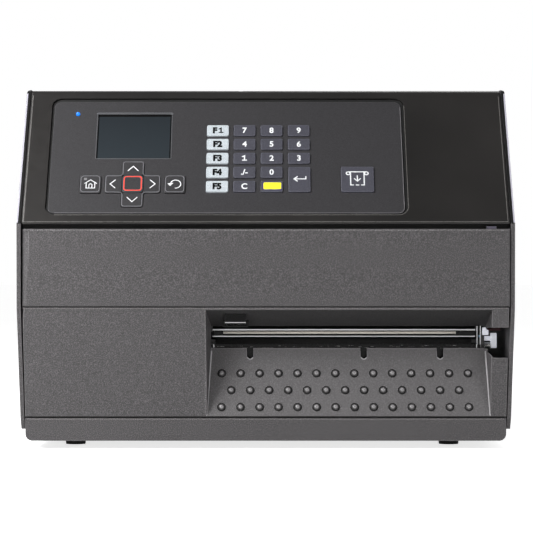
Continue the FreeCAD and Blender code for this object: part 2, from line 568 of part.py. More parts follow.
# bore in the outboard plate for the lever's stub
frame_s = cut(frame_s, cyl(3.0, 10, (OX0 - 3, LEV[0], LEV[1]), (1, 0, 0)))
keep("print_frame", frame_s)

# ribbon spindles: plain steel core with three grip ribs and a bearing journal
for name, (y, z) in (("ribbon_supply_spindle", SUP), ("ribbon_rewind_spindle", REW)):
    s = fuse(cyl(11.5, 178.0, (-38.0, y, z), (1, 0, 0)), cyl(14.0, 3.0, (-41.0, y, z), (1, 0, 0)),
             cyl(5.0, 14.0, (-51.0, y, z), (1, 0, 0)), cyl(12.5, 1.5, (138.5, y, z), (1, 0, 0)),
             cyl(11.0, 3.6, (-51.0, y, z), (1, 0, 0)))
    for k in range(3):
        a = math.radians(90 + 120 * k)
        rib = box(-30.0, 130.0, -1.2, 1.2, 10.5, 12.7)
        rib.rotate(V(0, 0, 0), V(1, 0, 0), 120 * k)
        rib.translate(V(0, y, z))
        s = fuse(s, rib)
    keep(name, s)

# media hub: hollow flat bar that the roll hangs on, with a sliding retainer
hy, hz = HUB
hub = box(WALL_X1, 140.0, hy - 15.0, hy + 15.0, hz - 18.0, hz + 18.0)
eh = [k for k in hub.Edges if abs(k.BoundBox.YMin - k.BoundBox.YMax) < 1e-6 and abs(k.BoundBox.ZMin - k.BoundBox.ZMax) < 1e-6]
hub = hub.makeFillet(6.0, eh)
hub = fuse(hub, box(WALL_X1, WALL_X1 + 3, hy - 24, hy + 24, hz - 26, hz + 26))
keep("media_hub", hub)
ret = box(104.0, 110.0, hy - 13.0, hy + 13.0, hz - 62.0, hz + 62.0)
er2 = [k for k in ret.Edges if abs(k.BoundBox.YMin - k.BoundBox.YMax) < 1e-6 and abs(k.BoundBox.ZMin - k.BoundBox.ZMax) < 1e-6]
ret = ret.makeFillet(8.0, er2)
ret = fuse(ret, box(100.0, 114.0, hy - 19.0, hy + 19.0, hz - 22.0, hz + 22.0))
hubhole = box(90.0, 120.0, hy - 15.05, hy + 15.05, hz - 18.05, hz + 18.05)
ehh = [k for k in hubhole.Edges if abs(k.BoundBox.YMin - k.BoundBox.YMax) < 1e-6 and abs(k.BoundBox.ZMin - k.BoundBox.ZMax) < 1e-6]
hubhole = hubhole.makeFillet(6.0, ehh)
ret = cut(ret, hubhole)
keep("media_retainer", ret)

# ---------------------------------------------------------------- drive, power
MOT_Y, MOT_Z = 106.0, 62.0
mot = fuse(box(-126.0, -76.0, MOT_Y - 28.2, MOT_Y + 28.2, MOT_Z - 28.2, MOT_Z + 28.2),
           cyl(19.0, 1.6, (-76.0, MOT_Y, MOT_Z), (1, 0, 0)))
for dy in (-23.6, 23.6):
    for dz in (-23.6, 23.6):
        mot = fuse(mot, cyl(3.6, 30.0, (-76.0, MOT_Y + dy, MOT_Z + dz), (1, 0, 0)))
mot = cut(mot, cyl(3.3, 12, (-80.0, MOT_Y, MOT_Z), (1, 0, 0)))
keep("stepper_motor", mot)
mp = fuse(pulley(8.0, 20, -67.0, -56.0, MOT_Y, MOT_Z, None), cyl(3.2, 18.0, (-79.5, MOT_Y, MOT_Z), (1, 0, 0)))
keep("motor_pulley", mp)
# toothed belt around both pulleys: two tangent runs and two arcs
dy, dz = MOT_Y - PLATEN_Y, MOT_Z - PLATEN_Z
dist = math.hypot(dy, dz)
base = math.atan2(dz, dy)


def belt_loop(ra, rb):
    al = math.acos((ra - rb) / dist)
    pa = lambda s: V(0, PLATEN_Y + ra * math.cos(base + s), PLATEN_Z + ra * math.sin(base + s))
    pb = lambda s: V(0, MOT_Y + rb * math.cos(base + s), MOT_Z + rb * math.sin(base + s))
    e1 = Part.LineSegment(pa(al), pb(al)).toShape()
    e2 = Part.Arc(pb(al), pb(0), pb(-al)).toShape()
    e3 = Part.LineSegment(pb(-al), pa(-al)).toShape()
    e4 = Part.Arc(pa(-al), pa(math.pi), pa(al)).toShape()
    return Part.Wire(Part.__sortEdges__([e1, e2, e3, e4]))


bo = Part.Face(belt_loop(14.0 + 1.7, 8.0 + 1.7)).extrude(V(6.6, 0, 0))
bi = Part.Face(belt_loop(14.0 + 0.25, 8.0 + 0.25)).extrude(V(6.6, 0, 0))
belt = bo.cut(bi)
belt.translate(V(-64.4, 0, 0))
# narrow it to run between the pulleys' flanges
keep("drive_belt", belt)

psu = [box(-166.0, -70.0, 290.0, 440.0, 14.0, 16.0),
       box(-160.0, -125.0, 300.0, 345.0, 16.0, 52.0), box(-118.0, -76.0, 300.0, 340.0, 16.0, 44.0),
       box(-160.0, -130.0, 392.0, 424.0, 16.0, 46.0)]
for i in range(3):
    psu.append(Part.makeCylinder(8.0, 34.0, V(-114.0 + i * 18.0, 365.0, 16.0)))
for x, y in ((-160, 296), (-76, 296), (-160, 434), (-76, 434)):
    psu.append(Part.makeCylinder(3.0, 3.0, V(x, y, 11.0)))
keep("power_supply", fuse(*psu))

mb = [box(-56.0, -54.4, 150.0, 430.0, 96.0, 216.0), box(-66.0, -56.0, 300.0, 340.0, 130.0, 170.0),
      box(-60.0, -56.0, 220.0, 250.0, 150.0, 180.0), box(-64.0, -56.0, 180.0, 190.0, 110.0, 200.0),
      box(-72.0, -56.0, 380.0, 400.0, 120.0, 136.0)]
for y, z in ((156, 102), (424, 102), (156, 210), (424, 210)):
    mb.append(cyl(3.0, 8.4, (-54.4, y, z), (1, 0, 0)))
mb.append(box(-56.0, -54.4, 430.0, 448.6, 104.0, 196.0))
for i, p in enumerate(PORTS):
    px0, px1, pz0, pz1 = p[0] + 0.2, p[1] - 0.2, p[2] + 0.2, p[3] - 0.2
    sock = box(px0, px1, 436.0, REAR_Y + 0.4, pz0, pz1)
    if i < 2:
        sock = cut(sock, box(px0 + 1.4, px1 - 1.4, 439.5, 460.0, pz0 + 1.4, pz1 - 1.4))
    else:
        for k in range(9):
            zz = (pz0 + pz1) / 2 + (k - 4) * 2.6
            sock = cut(sock, cyl(0.6, 5, ((px0 + px1) / 2 + (1.4 if k % 2 else -1.4), 448.0, zz), (0, 1, 0)))
    mb.append(sock)
    mb.append(box(-57.4, -55.9, 436.0, 448.6, pz0, pz1))
keep("main_board", fuse(*mb))

# inlet, switch and interface sockets on the rear panel
rc = []
inl = cut(box(INL[0], INL[1], 430.0, 453.0, INL[2], INL[3]),
          box(INL[0] + 3, INL[1] - 3, 436.0, 455.0, INL[2] + 3, INL[3] - 3))
inl = fuse(inl, cut(box(INL[0] - 2.5, INL[1] + 2.5, REAR_Y, D, INL[2] - 2.5, INL[3] + 2.5),
                    box(INL[0] + 3, INL[1] - 3, 436.0, 455.0, INL[2] + 3, INL[3] - 3)))
for dx, dz2 in ((-6.5, 0), (6.5, 0), (0, 2.5)):
    inl = fuse(inl, box((INL[0] + INL[1]) / 2 + dx - 1, (INL[0] + INL[1]) / 2 + dx + 1, 436.0, 449.0,
                        40 + dz2 - 2.0, 40 + dz2 + 2.0))
# power switch: frame stays with the socket, rocker turns on its own pin
SX = (SWI[0] + SWI[1]) / 2
SZ = (SWI[2] + SWI[3]) / 2
swf = cut(fuse(box(SWI[0], SWI[1], 434.0, REAR_Y, SWI[2], SWI[3]),
               box(SWI[0] - 1.5, SWI[1] + 1.5, REAR_Y, REAR_Y + 0.9, SWI[2] - 1.5, SWI[3] + 1.5)),
          box(SWI[0] + 1.5, SWI[1] - 1.5, 437.0, 460.0, SWI[2] + 1.2, SWI[3] - 1.2))
swf = cut(swf, cyl(1.05, 30, (SWI[0] - 5, 446.0, SZ), (1, 0, 0)))
keep("inlet_and_switch_frame", fuse(inl, swf, box(INL[1] - 0.5, SWI[0] + 0.5, 436.0, 448.9, 32.0, 48.0)))
rk = prism_x([(446.0 - 3.4, SZ - 3.0), (451.2, SZ - 7.4), (452.2, SZ - 7.4), (451.4, SZ), (453.4, SZ + 6.8), (452.0, SZ + 7.4),
              (446.0 - 3.4, SZ + 3.0)], SWI[0] + 1.9, SWI[1] - 1.9)
rk = fuse(rk, cyl(1.0, 13.0, (SX - 6.5, 446.0, SZ), (1, 0, 0)))
keep("power_switch", rk)

# --------------------------------------------------------------------- export
if __name__ == "__main__":
    os.makedirs("parts", exist_ok=True)
    for name in sorted(OUT):
        OUT[name].exportStep("parts/%s.step" % name)
    bb = FreeCAD.BoundBox()
    for name, s in OUT.items():
        bb.add(s.BoundBox)
        if not s.isValid():
            print("invalid", name)
    print(len(OUT), "nodes", [round(v, 2) for v in (bb.XMin, bb.XMax, bb.YMin, bb.YMax, bb.ZMin, bb.ZMax)])
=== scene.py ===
import bpy
import bmesh
import math
from mathutils import Vector, Matrix


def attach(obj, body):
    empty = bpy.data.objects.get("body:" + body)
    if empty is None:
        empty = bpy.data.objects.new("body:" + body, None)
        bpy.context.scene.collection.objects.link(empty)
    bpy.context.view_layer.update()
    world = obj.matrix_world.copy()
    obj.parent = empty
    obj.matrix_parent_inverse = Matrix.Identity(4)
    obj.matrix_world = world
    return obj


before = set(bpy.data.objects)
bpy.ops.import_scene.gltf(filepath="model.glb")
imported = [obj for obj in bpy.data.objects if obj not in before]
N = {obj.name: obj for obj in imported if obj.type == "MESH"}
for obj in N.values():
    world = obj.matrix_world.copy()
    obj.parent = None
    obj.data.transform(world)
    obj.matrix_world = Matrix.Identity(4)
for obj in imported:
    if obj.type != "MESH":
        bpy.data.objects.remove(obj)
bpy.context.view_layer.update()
SC = bpy.context.scene

# ------------------------------------------------------------------ geometry
HALF_D = 0.227
TILT = math.radians(36.0)
S36, C36 = math.sin(TILT), math.cos(TILT)


def P(x, y, z):
    """a point given in mm from the foremost plane, as metres in the frame"""
    return Vector((x * 0.001, y * 0.001 - HALF_D, z * 0.001))


# panel space: x across, v up the slope, w out of it (mm)
PANEL = Matrix.Translation(P(0, 0.5, 161.0)) @ Matrix.Rotation(math.radians(54.0), 4, "X") @ Matrix.Scale(0.001, 4)


def new_mesh(name, verts, faces, mat, smooth=False):
    me = bpy.data.meshes.new(name)
    me.from_pydata([tuple(v) for v in verts], [], faces)
    me.validate()
    ob = bpy.data.objects.new(name, me)
    SC.collection.objects.link(ob)
    bm = bmesh.new()
    bm.from_mesh(me)
    bmesh.ops.recalc_face_normals(bm, faces=bm.faces)
    bm.to_mesh(me)
    bm.free()
    if smooth:
        for p in me.polygons:
            p.use_smooth = True
    if mat is not None:
        me.materials.append(mat)
    return ob


class Build:
    """collects flat printed shapes and small solids into one mesh"""

    def __init__(self, xf=None):
        self.v, self.f, self.xf = [], [], xf if xf is not None else Matrix.Identity(4)

    def add(self, verts, faces):
        k = len(self.v)
        self.v += [self.xf @ Vector(p) for p in verts]
        self.f += [tuple(i + k for i in q) for q in faces]

    def slab(self, ring, z0, z1, hole=None):
        """outline extruded from z0 to z1; ring and hole have equal counts"""
        n = len(ring)
        if hole is None:
            vs = [(x, y, z0) for x, y in ring] + [(x, y, z1) for x, y in ring]
            fs = [tuple(range(n))[::-1], tuple(range(n, 2 * n))]
            fs += [(i, (i + 1) % n, n + (i + 1) % n, n + i) for i in range(n)]
        else:
            vs = ([(x, y, z0) for x, y in ring] + [(x, y, z1) for x, y in ring]
                  + [(x, y, z0) for x, y in hole] + [(x, y, z1) for x, y in hole])
            fs = []
            for i in range(n):
                j = (i + 1) % n
                fs += [(i, j, n + j, n + i), (2 * n + j, 2 * n + i, 3 * n + i, 3 * n + j),
                       (n + i, n + j, 3 * n + j, 3 * n + i), (j, i, 2 * n + i, 2 * n + j)]
        self.add(vs, fs)

    def stroke(self, pts, w, z0, z1, closed=False):
        """flat line of width w with mitred corners and rounded ends"""
        n = len(pts)
        left, right = [], []
        for i, p in enumerate(pts):
            p = Vector(p)
            a = Vector(pts[(i - 1) % n]) if (closed or i > 0) else None
            b = Vector(pts[(i + 1) % n]) if (closed or i < n - 1) else None
            d1 = (p - a).normalized() if a is not None else (b - p).normalized()
            d2 = (b - p).normalized() if b is not None else d1
            n1, n2 = Vector((-d1.y, d1.x)), Vector((-d2.y, d2.x))
            m = n1 + n2
            m = n1 if m.length < 1e-6 else m.normalized()
            k = (w / 2) / max(0.35, m.dot(n1))
            left.append(p + m * k)
            right.append(p - m * k)
        vs, fs = [], []
        for z in (z0, z1):
            vs += [(q.x, q.y, z) for q in left] + [(q.x, q.y, z) for q in right]
        L0, R0, L1, R1 = 0, n, 2 * n, 3 * n
        rng = range(n) if closed else range(n - 1)
        for i in rng:
            j = (i + 1) % n
            fs += [(L1 + i, R1 + i, R1 + j, L1 + j), (L0 + i, L0 + j, R0 + j, R0 + i),
                   (L0 + i, L1 + i, L1 + j, L0 + j), (R0 + i, R0 + j, R1 + j, R1 + i)]
        self.add(vs, fs)
        if not closed:
            for p, d in ((Vector(pts[0]), Vector(pts[0]) - Vector(pts[1])), (Vector(pts[-1]), Vector(pts[-1]) - Vector(pts[-2]))):
                a0 = math.atan2(d.y, d.x)
                ring = [(p.x + w / 2 * math.cos(a0 - math.pi / 2 + math.pi * k / 8),
                         p.y + w / 2 * math.sin(a0 - math.pi / 2 + math.pi * k / 8)) for k in range(9)]
                self.slab(ring, z0, z1 - 0.0005)

    def disc(self, c, r, z0, z1, inner=None, n=28):
        ring = [(c[0] + r * math.cos(2 * math.pi * k / n), c[1] + r * math.sin(2 * math.pi * k / n)) for k in range(n)]
        hole = None
        if inner:
            hole = [(c[0] + inner * math.cos(2 * math.pi * k / n), c[1] + inner * math.sin(2 * math.pi * k / n)) for k in range(n)]
        self.slab(ring, z0, z1, hole)

    def make(self, name, mat, smooth=False):
        return new_mesh(name, self.v, self.f, mat, smooth)


def rr(x0, x1, y0, y1, r, n=6):
    """rounded rectangle outline, counter-clockwise"""
    out = []
    for cx, cy, a in ((x1 - r, y1 - r, 0), (x0 + r, y1 - r, 90), (x0 + r, y0 + r, 180), (x1 - r, y0 + r, 270)):
        for k in range(n + 1):
            t = math.radians(a + 90.0 * k / n)
            out.append((cx + r * math.cos(t), cy + r * math.sin(t)))
    return out


# ----------------------------------------------------------------- materials
def lin(c):
    c = c / 255.0
    return c / 12.92 if c <= 0.04045 else ((c + 0.055) / 1.055) ** 2.4


def rgb(r, g, b):
    return (lin(r), lin(g), lin(b), 1.0)


class Mat:
    """small helper around one procedural material"""

    def __init__(self, name):
        self.m = bpy.data.materials.new(name)
        self.m.use_nodes = True
        self.t = self.m.node_tree
        self.b = self.t.nodes["Principled BSDF"]
        self.co = self.t.nodes.new("ShaderNodeTexCoord").outputs["Object"]
        self.nrm = None

    def node(self, kind, **kw):
        n = self.t.nodes.new(kind)
        for k, v in kw.items():
            if k in n.inputs.keys():
                n.inputs[k].default_value = v
            else:
                setattr(n, k, v)
        return n

    def link(self, a, b):
        self.t.links.new(a, b)

    def noise(self, scale, detail=3.0, rough=0.55, stretch=None):
        n = self.node("ShaderNodeTexNoise")
        n.inputs["Scale"].default_value = scale
        n.inputs["Detail"].default_value = detail
        n.inputs["Roughness"].default_value = rough
        if stretch:
            mp = self.node("ShaderNodeMapping")
            mp.inputs["Scale"].default_value = stretch
            self.link(self.co, mp.inputs["Vector"])
            self.link(mp.outputs["Vector"], n.inputs["Vector"])
        else:
            self.link(self.co, n.inputs["Vector"])
        return n.outputs["Fac"]

    def cells(self, scale):
        n = self.node("ShaderNodeTexVoronoi")
        n.inputs["Scale"].default_value = scale
        self.link(self.co, n.inputs["Vector"])
        return n.outputs["Distance"]

    def ramp(self, fac, a, b, lo=0.3, hi=0.7):
        r = self.node("ShaderNodeValToRGB")
        r.color_ramp.elements[0].position = lo
        r.color_ramp.elements[0].color = a
        r.color_ramp.elements[1].position = hi
        r.color_ramp.elements[1].color = b
        self.link(fac, r.inputs["Fac"])
        return r.outputs["Color"]

    def remap(self, fac, lo, hi, a=0.3, b=0.7):
        r = self.node("ShaderNodeMapRange")
        r.inputs["From Min"].default_value = a
        r.inputs["From Max"].default_value = b
        r.inputs["To Min"].default_value = lo
        r.inputs["To Max"].default_value = hi
        self.link(fac, r.inputs["Value"])
        return r.outputs["Result"]

    def mix(self, fac, a, b, mode="MIX"):
        n = self.node("ShaderNodeMix", data_type="RGBA", blend_type=mode)
        for sock, v in ((n.inputs[0], fac), (n.inputs[6], a), (n.inputs[7], b)):
            if hasattr(v, "is_linked") or isinstance(v, bpy.types.NodeSocket):
                self.link(v, sock)
            else:
                sock.default_value = v
        return n.outputs[2]

    def bevel(self, radius):
        n = self.node("ShaderNodeBevel", samples=4)
        n.inputs["Radius"].default_value = radius
        if self.nrm is None:
            self.nrm = n.outputs["Normal"]
        return n.outputs["Normal"]

    def edge(self, radius, gain=1.0):
        """0 on flats, up to 1 along edges"""
        n = self.node("ShaderNodeBevel", samples=4)
        n.inputs["Radius"].default_value = radius
        g = self.node("ShaderNodeNewGeometry")
        d = self.node("ShaderNodeVectorMath", operation="DOT_PRODUCT")
        self.link(n.outputs["Normal"], d.inputs[0])
        self.link(g.outputs["Normal"], d.inputs[1])
        return self.remap(d.outputs["Value"], gain, 0.0, 0.80, 0.995)

    def bump(self, height, dist, strength=1.0):
        n = self.node("ShaderNodeBump")
        n.inputs["Distance"].default_value = dist
        n.inputs["Strength"].default_value = strength
        self.link(height, n.inputs["Height"])
        if self.nrm is not None:
            self.link(self.nrm, n.inputs["Normal"])
        self.nrm = n.outputs["Normal"]
        return self.nrm

    def done(self, **kw):
        if self.nrm is not None:
            self.link(self.nrm, self.b.inputs["Normal"])
        for k, v in kw.items():
            key = k.replace("_", " ")
            sock = self.b.inputs[key]
            if isinstance(v, bpy.types.NodeSocket):
                self.link(v, sock)
            else:
                sock.default_value = v
        return self.m


def grained(name, dark, light, fleck, rough=(0.5, 0.62), grain=1500.0, depth=0.00007, bev=0.0005, edge_wear_and_highlight=0.35, spec=0.5,
            pits=0.45, slope_black=False, ramp_lift=0.0):
    """moulded plastic with a fine spark-eroded grain, softened edges, and edges lightened partly as slight wear and
    partly as painted highlight
    """
    m = Mat(name)
    m.bevel(bev)
    big = m.noise(6.0, 2.0)
    mid = m.noise(900.0, 3.0)
    fine = m.noise(grain, 2.0, 0.7)
    cell = m.cells(grain * 0.55)
    base = m.ramp(big, dark, light, 0.25, 0.75)
    base = m.mix(m.remap(fine, 0.0, 0.9, 0.50, 0.64), base, fleck)
    base = m.mix(m.remap(fine, 0.5, 0.0, 0.36, 0.47), base, tuple(c * 0.4 for c in dark[:3]) + (1.0,))
    base = m.mix(m.remap(cell, pits, 0.0, 0.08, 0.34), base, tuple(c * 0.35 for c in dark[:3]) + (1.0,))
    # edges are lightened, partly as wear and partly as a painted highlight
    lift = m.edge(0.0010, edge_wear_and_highlight)
    base = m.mix(lift, base, tuple(min(1.0, c * 2.3 + 0.02) for c in fleck[:3]) + (1.0,))
    ro = m.remap(mid, rough[0], rough[1])
    if slope_black:
        # the faces that lie in the plane of the sloping console are painted gloss black
        d = m.node("ShaderNodeVectorMath", operation="DOT_PRODUCT")
        m.link(m.t.nodes["Texture Coordinate"].outputs["Normal"], d.inputs[0])
        d.inputs[1].default_value = (0.0, -0.809, 0.588)
        k = m.remap(d.outputs["Value"], 0.0, 1.0, 0.90, 0.97)
        base = m.mix(k, base, rgb(16, 16, 16))
        ro = m.remap(m.mix(k, (1, 1, 1, 1), (0, 0, 0, 1)), 0.3, rough[0] + 0.05, 0.0, 1.0)
    if ramp_lift > 0.0:
        # faces turned the same way as the outlet ramp are made lighter
        d = m.node("ShaderNodeVectorMath", operation="DOT_PRODUCT")
        m.link(m.t.nodes["Texture Coordinate"].outputs["Normal"], d.inputs[0])
        d.inputs[1].default_value = (0.0, -0.9436, 0.331)
        k = m.remap(d.outputs["Value"], 0.0, ramp_lift, 0.955, 0.99)
        base = m.mix(k, base, (0.30, 0.29, 0.295, 1.0))
        # painted shade: faces turned down and forward, like the hood over the outlet, are darkened
        d = m.node("ShaderNodeVectorMath", operation="DOT_PRODUCT")
        m.link(m.t.nodes["Texture Coordinate"].outputs["Normal"], d.inputs[0])
        d.inputs[1].default_value = (0.0, -0.45, -0.893)
        base = m.mix(m.remap(d.outputs["Value"], 0.0, 0.72, 0.93, 0.985), base, rgb(14, 14, 14))
    m.bump(cell, depth, 0.55)
    m.bump(fine, depth * 0.8, 0.5)
    return m.done(Base_Color=base, Roughness=ro, Specular_IOR_Level=spec)


def smooth_plastic(name, dark, light, rough=(0.28, 0.36), bev=0.0004, coat=0.0, spec=0.5, peel=0.00002, dust=0.05, edge_wear_and_highlight=0.2, painted_glow=0.0):
    """shinier moulding: faint flow marks, orange peel and a trace of dust"""
    m = Mat(name)
    if bev > 0.0:
        m.bevel(bev)
    big = m.noise(9.0, 2.0)
    mid = m.noise(160.0, 4.0)
    fine = m.noise(2600.0, 2.0, 0.7)
    base = m.ramp(big, dark, light, 0.25, 0.75)
    base = m.mix(m.remap(fine, 0.0, dust, 0.56, 0.72), base, (0.5, 0.5, 0.5, 1.0))
    # edges are lightened, partly as wear and partly as a painted highlight
    if edge_wear_and_highlight > 0.0:
        base = m.mix(m.edge(0.0008, edge_wear_and_highlight), base, tuple(min(1, c * 3 + 0.03) for c in light[:3]) + (1.0,))
    m.bump(m.noise(420.0, 2.0), peel, 0.5)
    # the glow setting makes the surface give off light of its own: a painted glow
    return m.done(Base_Color=base, Roughness=m.remap(mid, rough[0], rough[1]), Specular_IOR_Level=spec,
                  Coat_Weight=coat, Coat_Roughness=0.12, Emission_Color=(0.9, 0.92, 1.0, 1.0), Emission_Strength=painted_glow)


def metal(name, a, b, rough=(0.22, 0.38), stretch=(4.0, 900.0, 900.0), bev=0.0003, depth=0.00002):
    """drawn or ground metal with direction"""
    m = Mat(name)
    m.bevel(bev)
    lines = m.noise(1.0, 4.0, 0.6, stretch)
    cloud = m.noise(60.0, 4.0)
    base = m.ramp(lines, a, b, 0.3, 0.7)
    base = m.mix(m.remap(cloud, 0.0, 0.25, 0.4, 0.8), base, tuple(c * 0.55 for c in a[:3]) + (1.0,))
    m.bump(lines, depth, 0.6)
    return m.done(Base_Color=base, Metallic=1.0, Roughness=m.remap(lines, rough[0], rough[1]), Anisotropic=0.3)


def rubber(name, dark, light):
    m = Mat(name)
    m.bevel(0.0004)
    f = m.noise(1900.0, 3.0, 0.7)
    base = m.ramp(m.noise(35.0, 3.0), dark, light, 0.3, 0.7)
    base = m.mix(m.remap(f, 0.0, 0.25, 0.5, 0.75), base, (0.16, 0.155, 0.15, 1))
    m.bump(f, 0.00005, 0.6)
    return m.done(Base_Color=base, Roughness=0.72, Specular_IOR_Level=0.35)


M = {}
M["cover"] = grained("cover_plastic", rgb(60, 58, 59), rgb(65, 63, 64), rgb(100, 97, 99), edge_wear_and_highlight=0.5)
M["outlet"] = grained("outlet_plastic", rgb(60, 58, 59), rgb(65, 63, 64), rgb(100, 97, 99), edge_wear_and_highlight=0.5, ramp_lift=0.17)
M["shell"] = grained("cover_shell", rgb(60, 58, 59), rgb(65, 63, 64), rgb(100, 97, 99), edge_wear_and_highlight=0.4, slope_black=True)
M["bezel"] = smooth_plastic("bezel_gloss", rgb(19, 18, 17), rgb(38, 36, 35), rough=(0.31, 0.38), coat=0.0, spec=0.45, peel=0.000002,
                            dust=0.0, edge_wear_and_highlight=0.0, bev=0.0)
M["console"] = grained("console_film", rgb(42, 41, 43), rgb(46, 45, 47), rgb(60, 59, 62), rough=(0.40, 0.48), grain=2100.0, depth=0.00002, bev=0.0004, edge_wear_and_highlight=0.5, pits=0.1)
M["navkey"] = grained("console_key_film", rgb(42, 41, 43), rgb(46, 45, 47), rgb(60, 59, 62), pits=0.1, rough=(0.38, 0.46), grain=2100.0, depth=0.00002, bev=0.0003, edge_wear_and_highlight=0.25)
# light grey for the embossed key rims: a painted highlight on the raised ridge
M["rim"] = smooth_plastic("embossed_rim_highlight", rgb(104, 104, 108), rgb(114, 114, 118), rough=(0.35, 0.42))
M["key"] = grained("key_grey", rgb(60, 60, 69), rgb(66, 66, 75), rgb(84, 84, 94), pits=0.1, rough=(0.36, 0.44), grain=2300.0, depth=0.00002, bev=0.0003, edge_wear_and_highlight=0.55)
M["keyw"] = grained("key_white", rgb(178, 186, 192), rgb(186, 194, 199), rgb(214, 220, 223), pits=0.06, rough=(0.34, 0.42), grain=2300.0, depth=0.00002, bev=0.0003, edge_wear_and_highlight=0.0)
M["ink_w"] = smooth_plastic("print_white", rgb(228, 230, 232), rgb(238, 240, 242), rough=(0.45, 0.5), edge_wear_and_highlight=0.0)
M["ink_k"] = smooth_plastic("print_black", rgb(5, 5, 6), rgb(9, 9, 10), rough=(0.45, 0.5), edge_wear_and_highlight=0.0, dust=0.0, spec=0.12)
M["ink_g"] = smooth_plastic("print_grey", rgb(120, 120, 122), rgb(130, 130, 132), rough=(0.45, 0.5), edge_wear_and_highlight=0.0)
M["ink_y"] = smooth_plastic("print_yellow", rgb(252, 238, 30), rgb(255, 246, 52), rough=(0.42, 0.5), edge_wear_and_highlight=0.0)
M["ink_v"] = smooth_plastic("print_violet", rgb(52, 44, 120), rgb(60, 52, 132), rough=(0.45, 0.5), edge_wear_and_highlight=0.0)
M["ink_r"] = smooth_plastic("ring_red", rgb(226, 74, 62), rgb(236, 86, 72), rough=(0.35, 0.42), edge_wear_and_highlight=0.0)
M["ink_t"] = smooth_plastic("ring_teal", rgb(30, 58, 64), rgb(36, 66, 72), rough=(0.35, 0.42), edge_wear_and_highlight=0.0)
M["black"] = smooth_plastic("black_plastic", rgb(6, 6, 6), rgb(10, 10, 10), rough=(0.16, 0.24), dust=0.0, spec=0.3)
M["spindle"] = grained("spindle_plastic", rgb(40, 40, 42), rgb(48, 48, 50), rgb(64, 64, 66))
M["lever"] = smooth_plastic("lever_plastic", rgb(34, 62, 120), rgb(42, 72, 134), rough=(0.32, 0.4))
M["steel"] = metal("bright_steel", (0.62, 0.62, 0.60, 1), (0.78, 0.78, 0.77, 1))
M["zinc"] = metal("zinc_steel", (0.42, 0.43, 0.43, 1), (0.58, 0.58, 0.57, 1), rough=(0.34, 0.5), stretch=(300.0, 300.0, 300.0))
M["alloy"] = metal("head_alloy", (0.78, 0.78, 0.79, 1), (0.90, 0.90, 0.91, 1), rough=(0.3, 0.45))
M["dkmetal"] = metal("dark_steel", (0.05, 0.05, 0.05, 1), (0.11, 0.11, 0.11, 1), rough=(0.35, 0.5))
M["screw"] = metal("screw_steel", (0.10, 0.10, 0.105, 1), (0.2, 0.2, 0.205, 1), rough=(0.3, 0.42))
M["paint"] = grained("chassis_paint", rgb(52, 52, 52), rgb(58, 58, 58), rgb(66, 66, 66), rough=(0.5, 0.6), grain=2300.0, depth=0.00002, pits=0.12)
M["motor"] = grained("motor_paint", rgb(30, 30, 32), rgb(38, 38, 40), rgb(56, 56, 58), rough=(0.4, 0.52))
M["foot"] = rubber("foot_rubber", rgb(26, 26, 26), rgb(36, 36, 36))
M["roller"] = rubber("roller_rubber", rgb(24, 24, 24), rgb(34, 34, 34))
M["belt"] = rubber("belt_rubber", rgb(28, 28, 28), rgb(38, 38, 38))


def glassy(name, tint, alpha, rough=0.04):
    m = Mat(name)
    m.bevel(0.0003)
    m.bump(m.noise(45.0, 2.0), 0.000004, 0.3)
    sm = m.noise(40.0, 4.0)
    return m.done(Base_Color=m.ramp(sm, tint, tuple(c * 1.2 for c in tint[:3]) + (1,)), Roughness=m.remap(sm, rough, rough + 0.06),
                  Alpha=alpha, Specular_IOR_Level=0.6, Coat_Weight=0.3)


# bead top: painted highlight standing in for the reflection on a dark polished dome
M["bead"] = smooth_plastic("bead_top_painted_highlight", rgb(112, 110, 111), rgb(126, 124, 125), rough=(0.18, 0.26), bev=0.0002, coat=0.3, dust=0.05)
# light grey for painted highlight strips along edges and round the bead grooves
M["rub"] = grained("edge_painted_highlight_grey", rgb(84, 81, 82), rgb(94, 91, 92), rgb(140, 137, 139), edge_wear_and_highlight=0.0)
M["gapd"] = smooth_plastic("seam_shadow", rgb(10, 10, 10), rgb(14, 14, 14), rough=(0.6, 0.7), edge_wear_and_highlight=0.0, dust=0.0)
# light grey for painted highlight lines along the bezel's edges
M["brim"] = smooth_plastic("bezel_edge_highlight", rgb(88, 86, 84), rgb(112, 110, 108), rough=(0.25, 0.32), edge_wear_and_highlight=0.0, dust=0.0)
# bead shoulder and side: painted shade below the painted highlight on the bead top
M["beadm"] = smooth_plastic("bead_shoulder", rgb(70, 68, 69), rgb(84, 82, 83), rough=(0.24, 0.34), bev=0.0002, edge_wear_and_highlight=0.0, dust=0.0)
M["beads"] = smooth_plastic("bead_side", rgb(20, 19, 19), rgb(32, 31, 31), rough=(0.3, 0.4), bev=0.0002, edge_wear_and_highlight=0.0, dust=0.0)
# pale lavender for the side covers' outer edges: a painted reflection of the bright room
M["rimc"] = smooth_plastic("cover_rim_painted_reflection", rgb(176, 174, 186), rgb(190, 188, 200), rough=(0.2, 0.3), edge_wear_and_highlight=0.0, dust=0.0)
# near black for painted shade inside the ring grooves round the beads
M["ringd"] = smooth_plastic("bead_groove", rgb(10, 10, 10), rgb(16, 16, 16), rough=(0.5, 0.6), bev=0.0002, edge_wear_and_highlight=0.0, dust=0.0)
M["ceram"] = smooth_plastic("ceramic_strip", rgb(196, 189, 178), rgb(214, 207, 196), rough=(0.3, 0.4), dust=0.15)
# white nylon with a painted glow so the parts in the shaded notch read bright
M["whitep"] = smooth_plastic("white_nylon", rgb(214, 216, 226), rgb(232, 233, 240), rough=(0.35, 0.45), edge_wear_and_highlight=0.0, painted_glow=0.3)
M["lip"] = smooth_plastic("edge_highlight", rgb(112, 110, 113), rgb(124, 122, 125), rough=(0.35, 0.42), edge_wear_and_highlight=0.0)
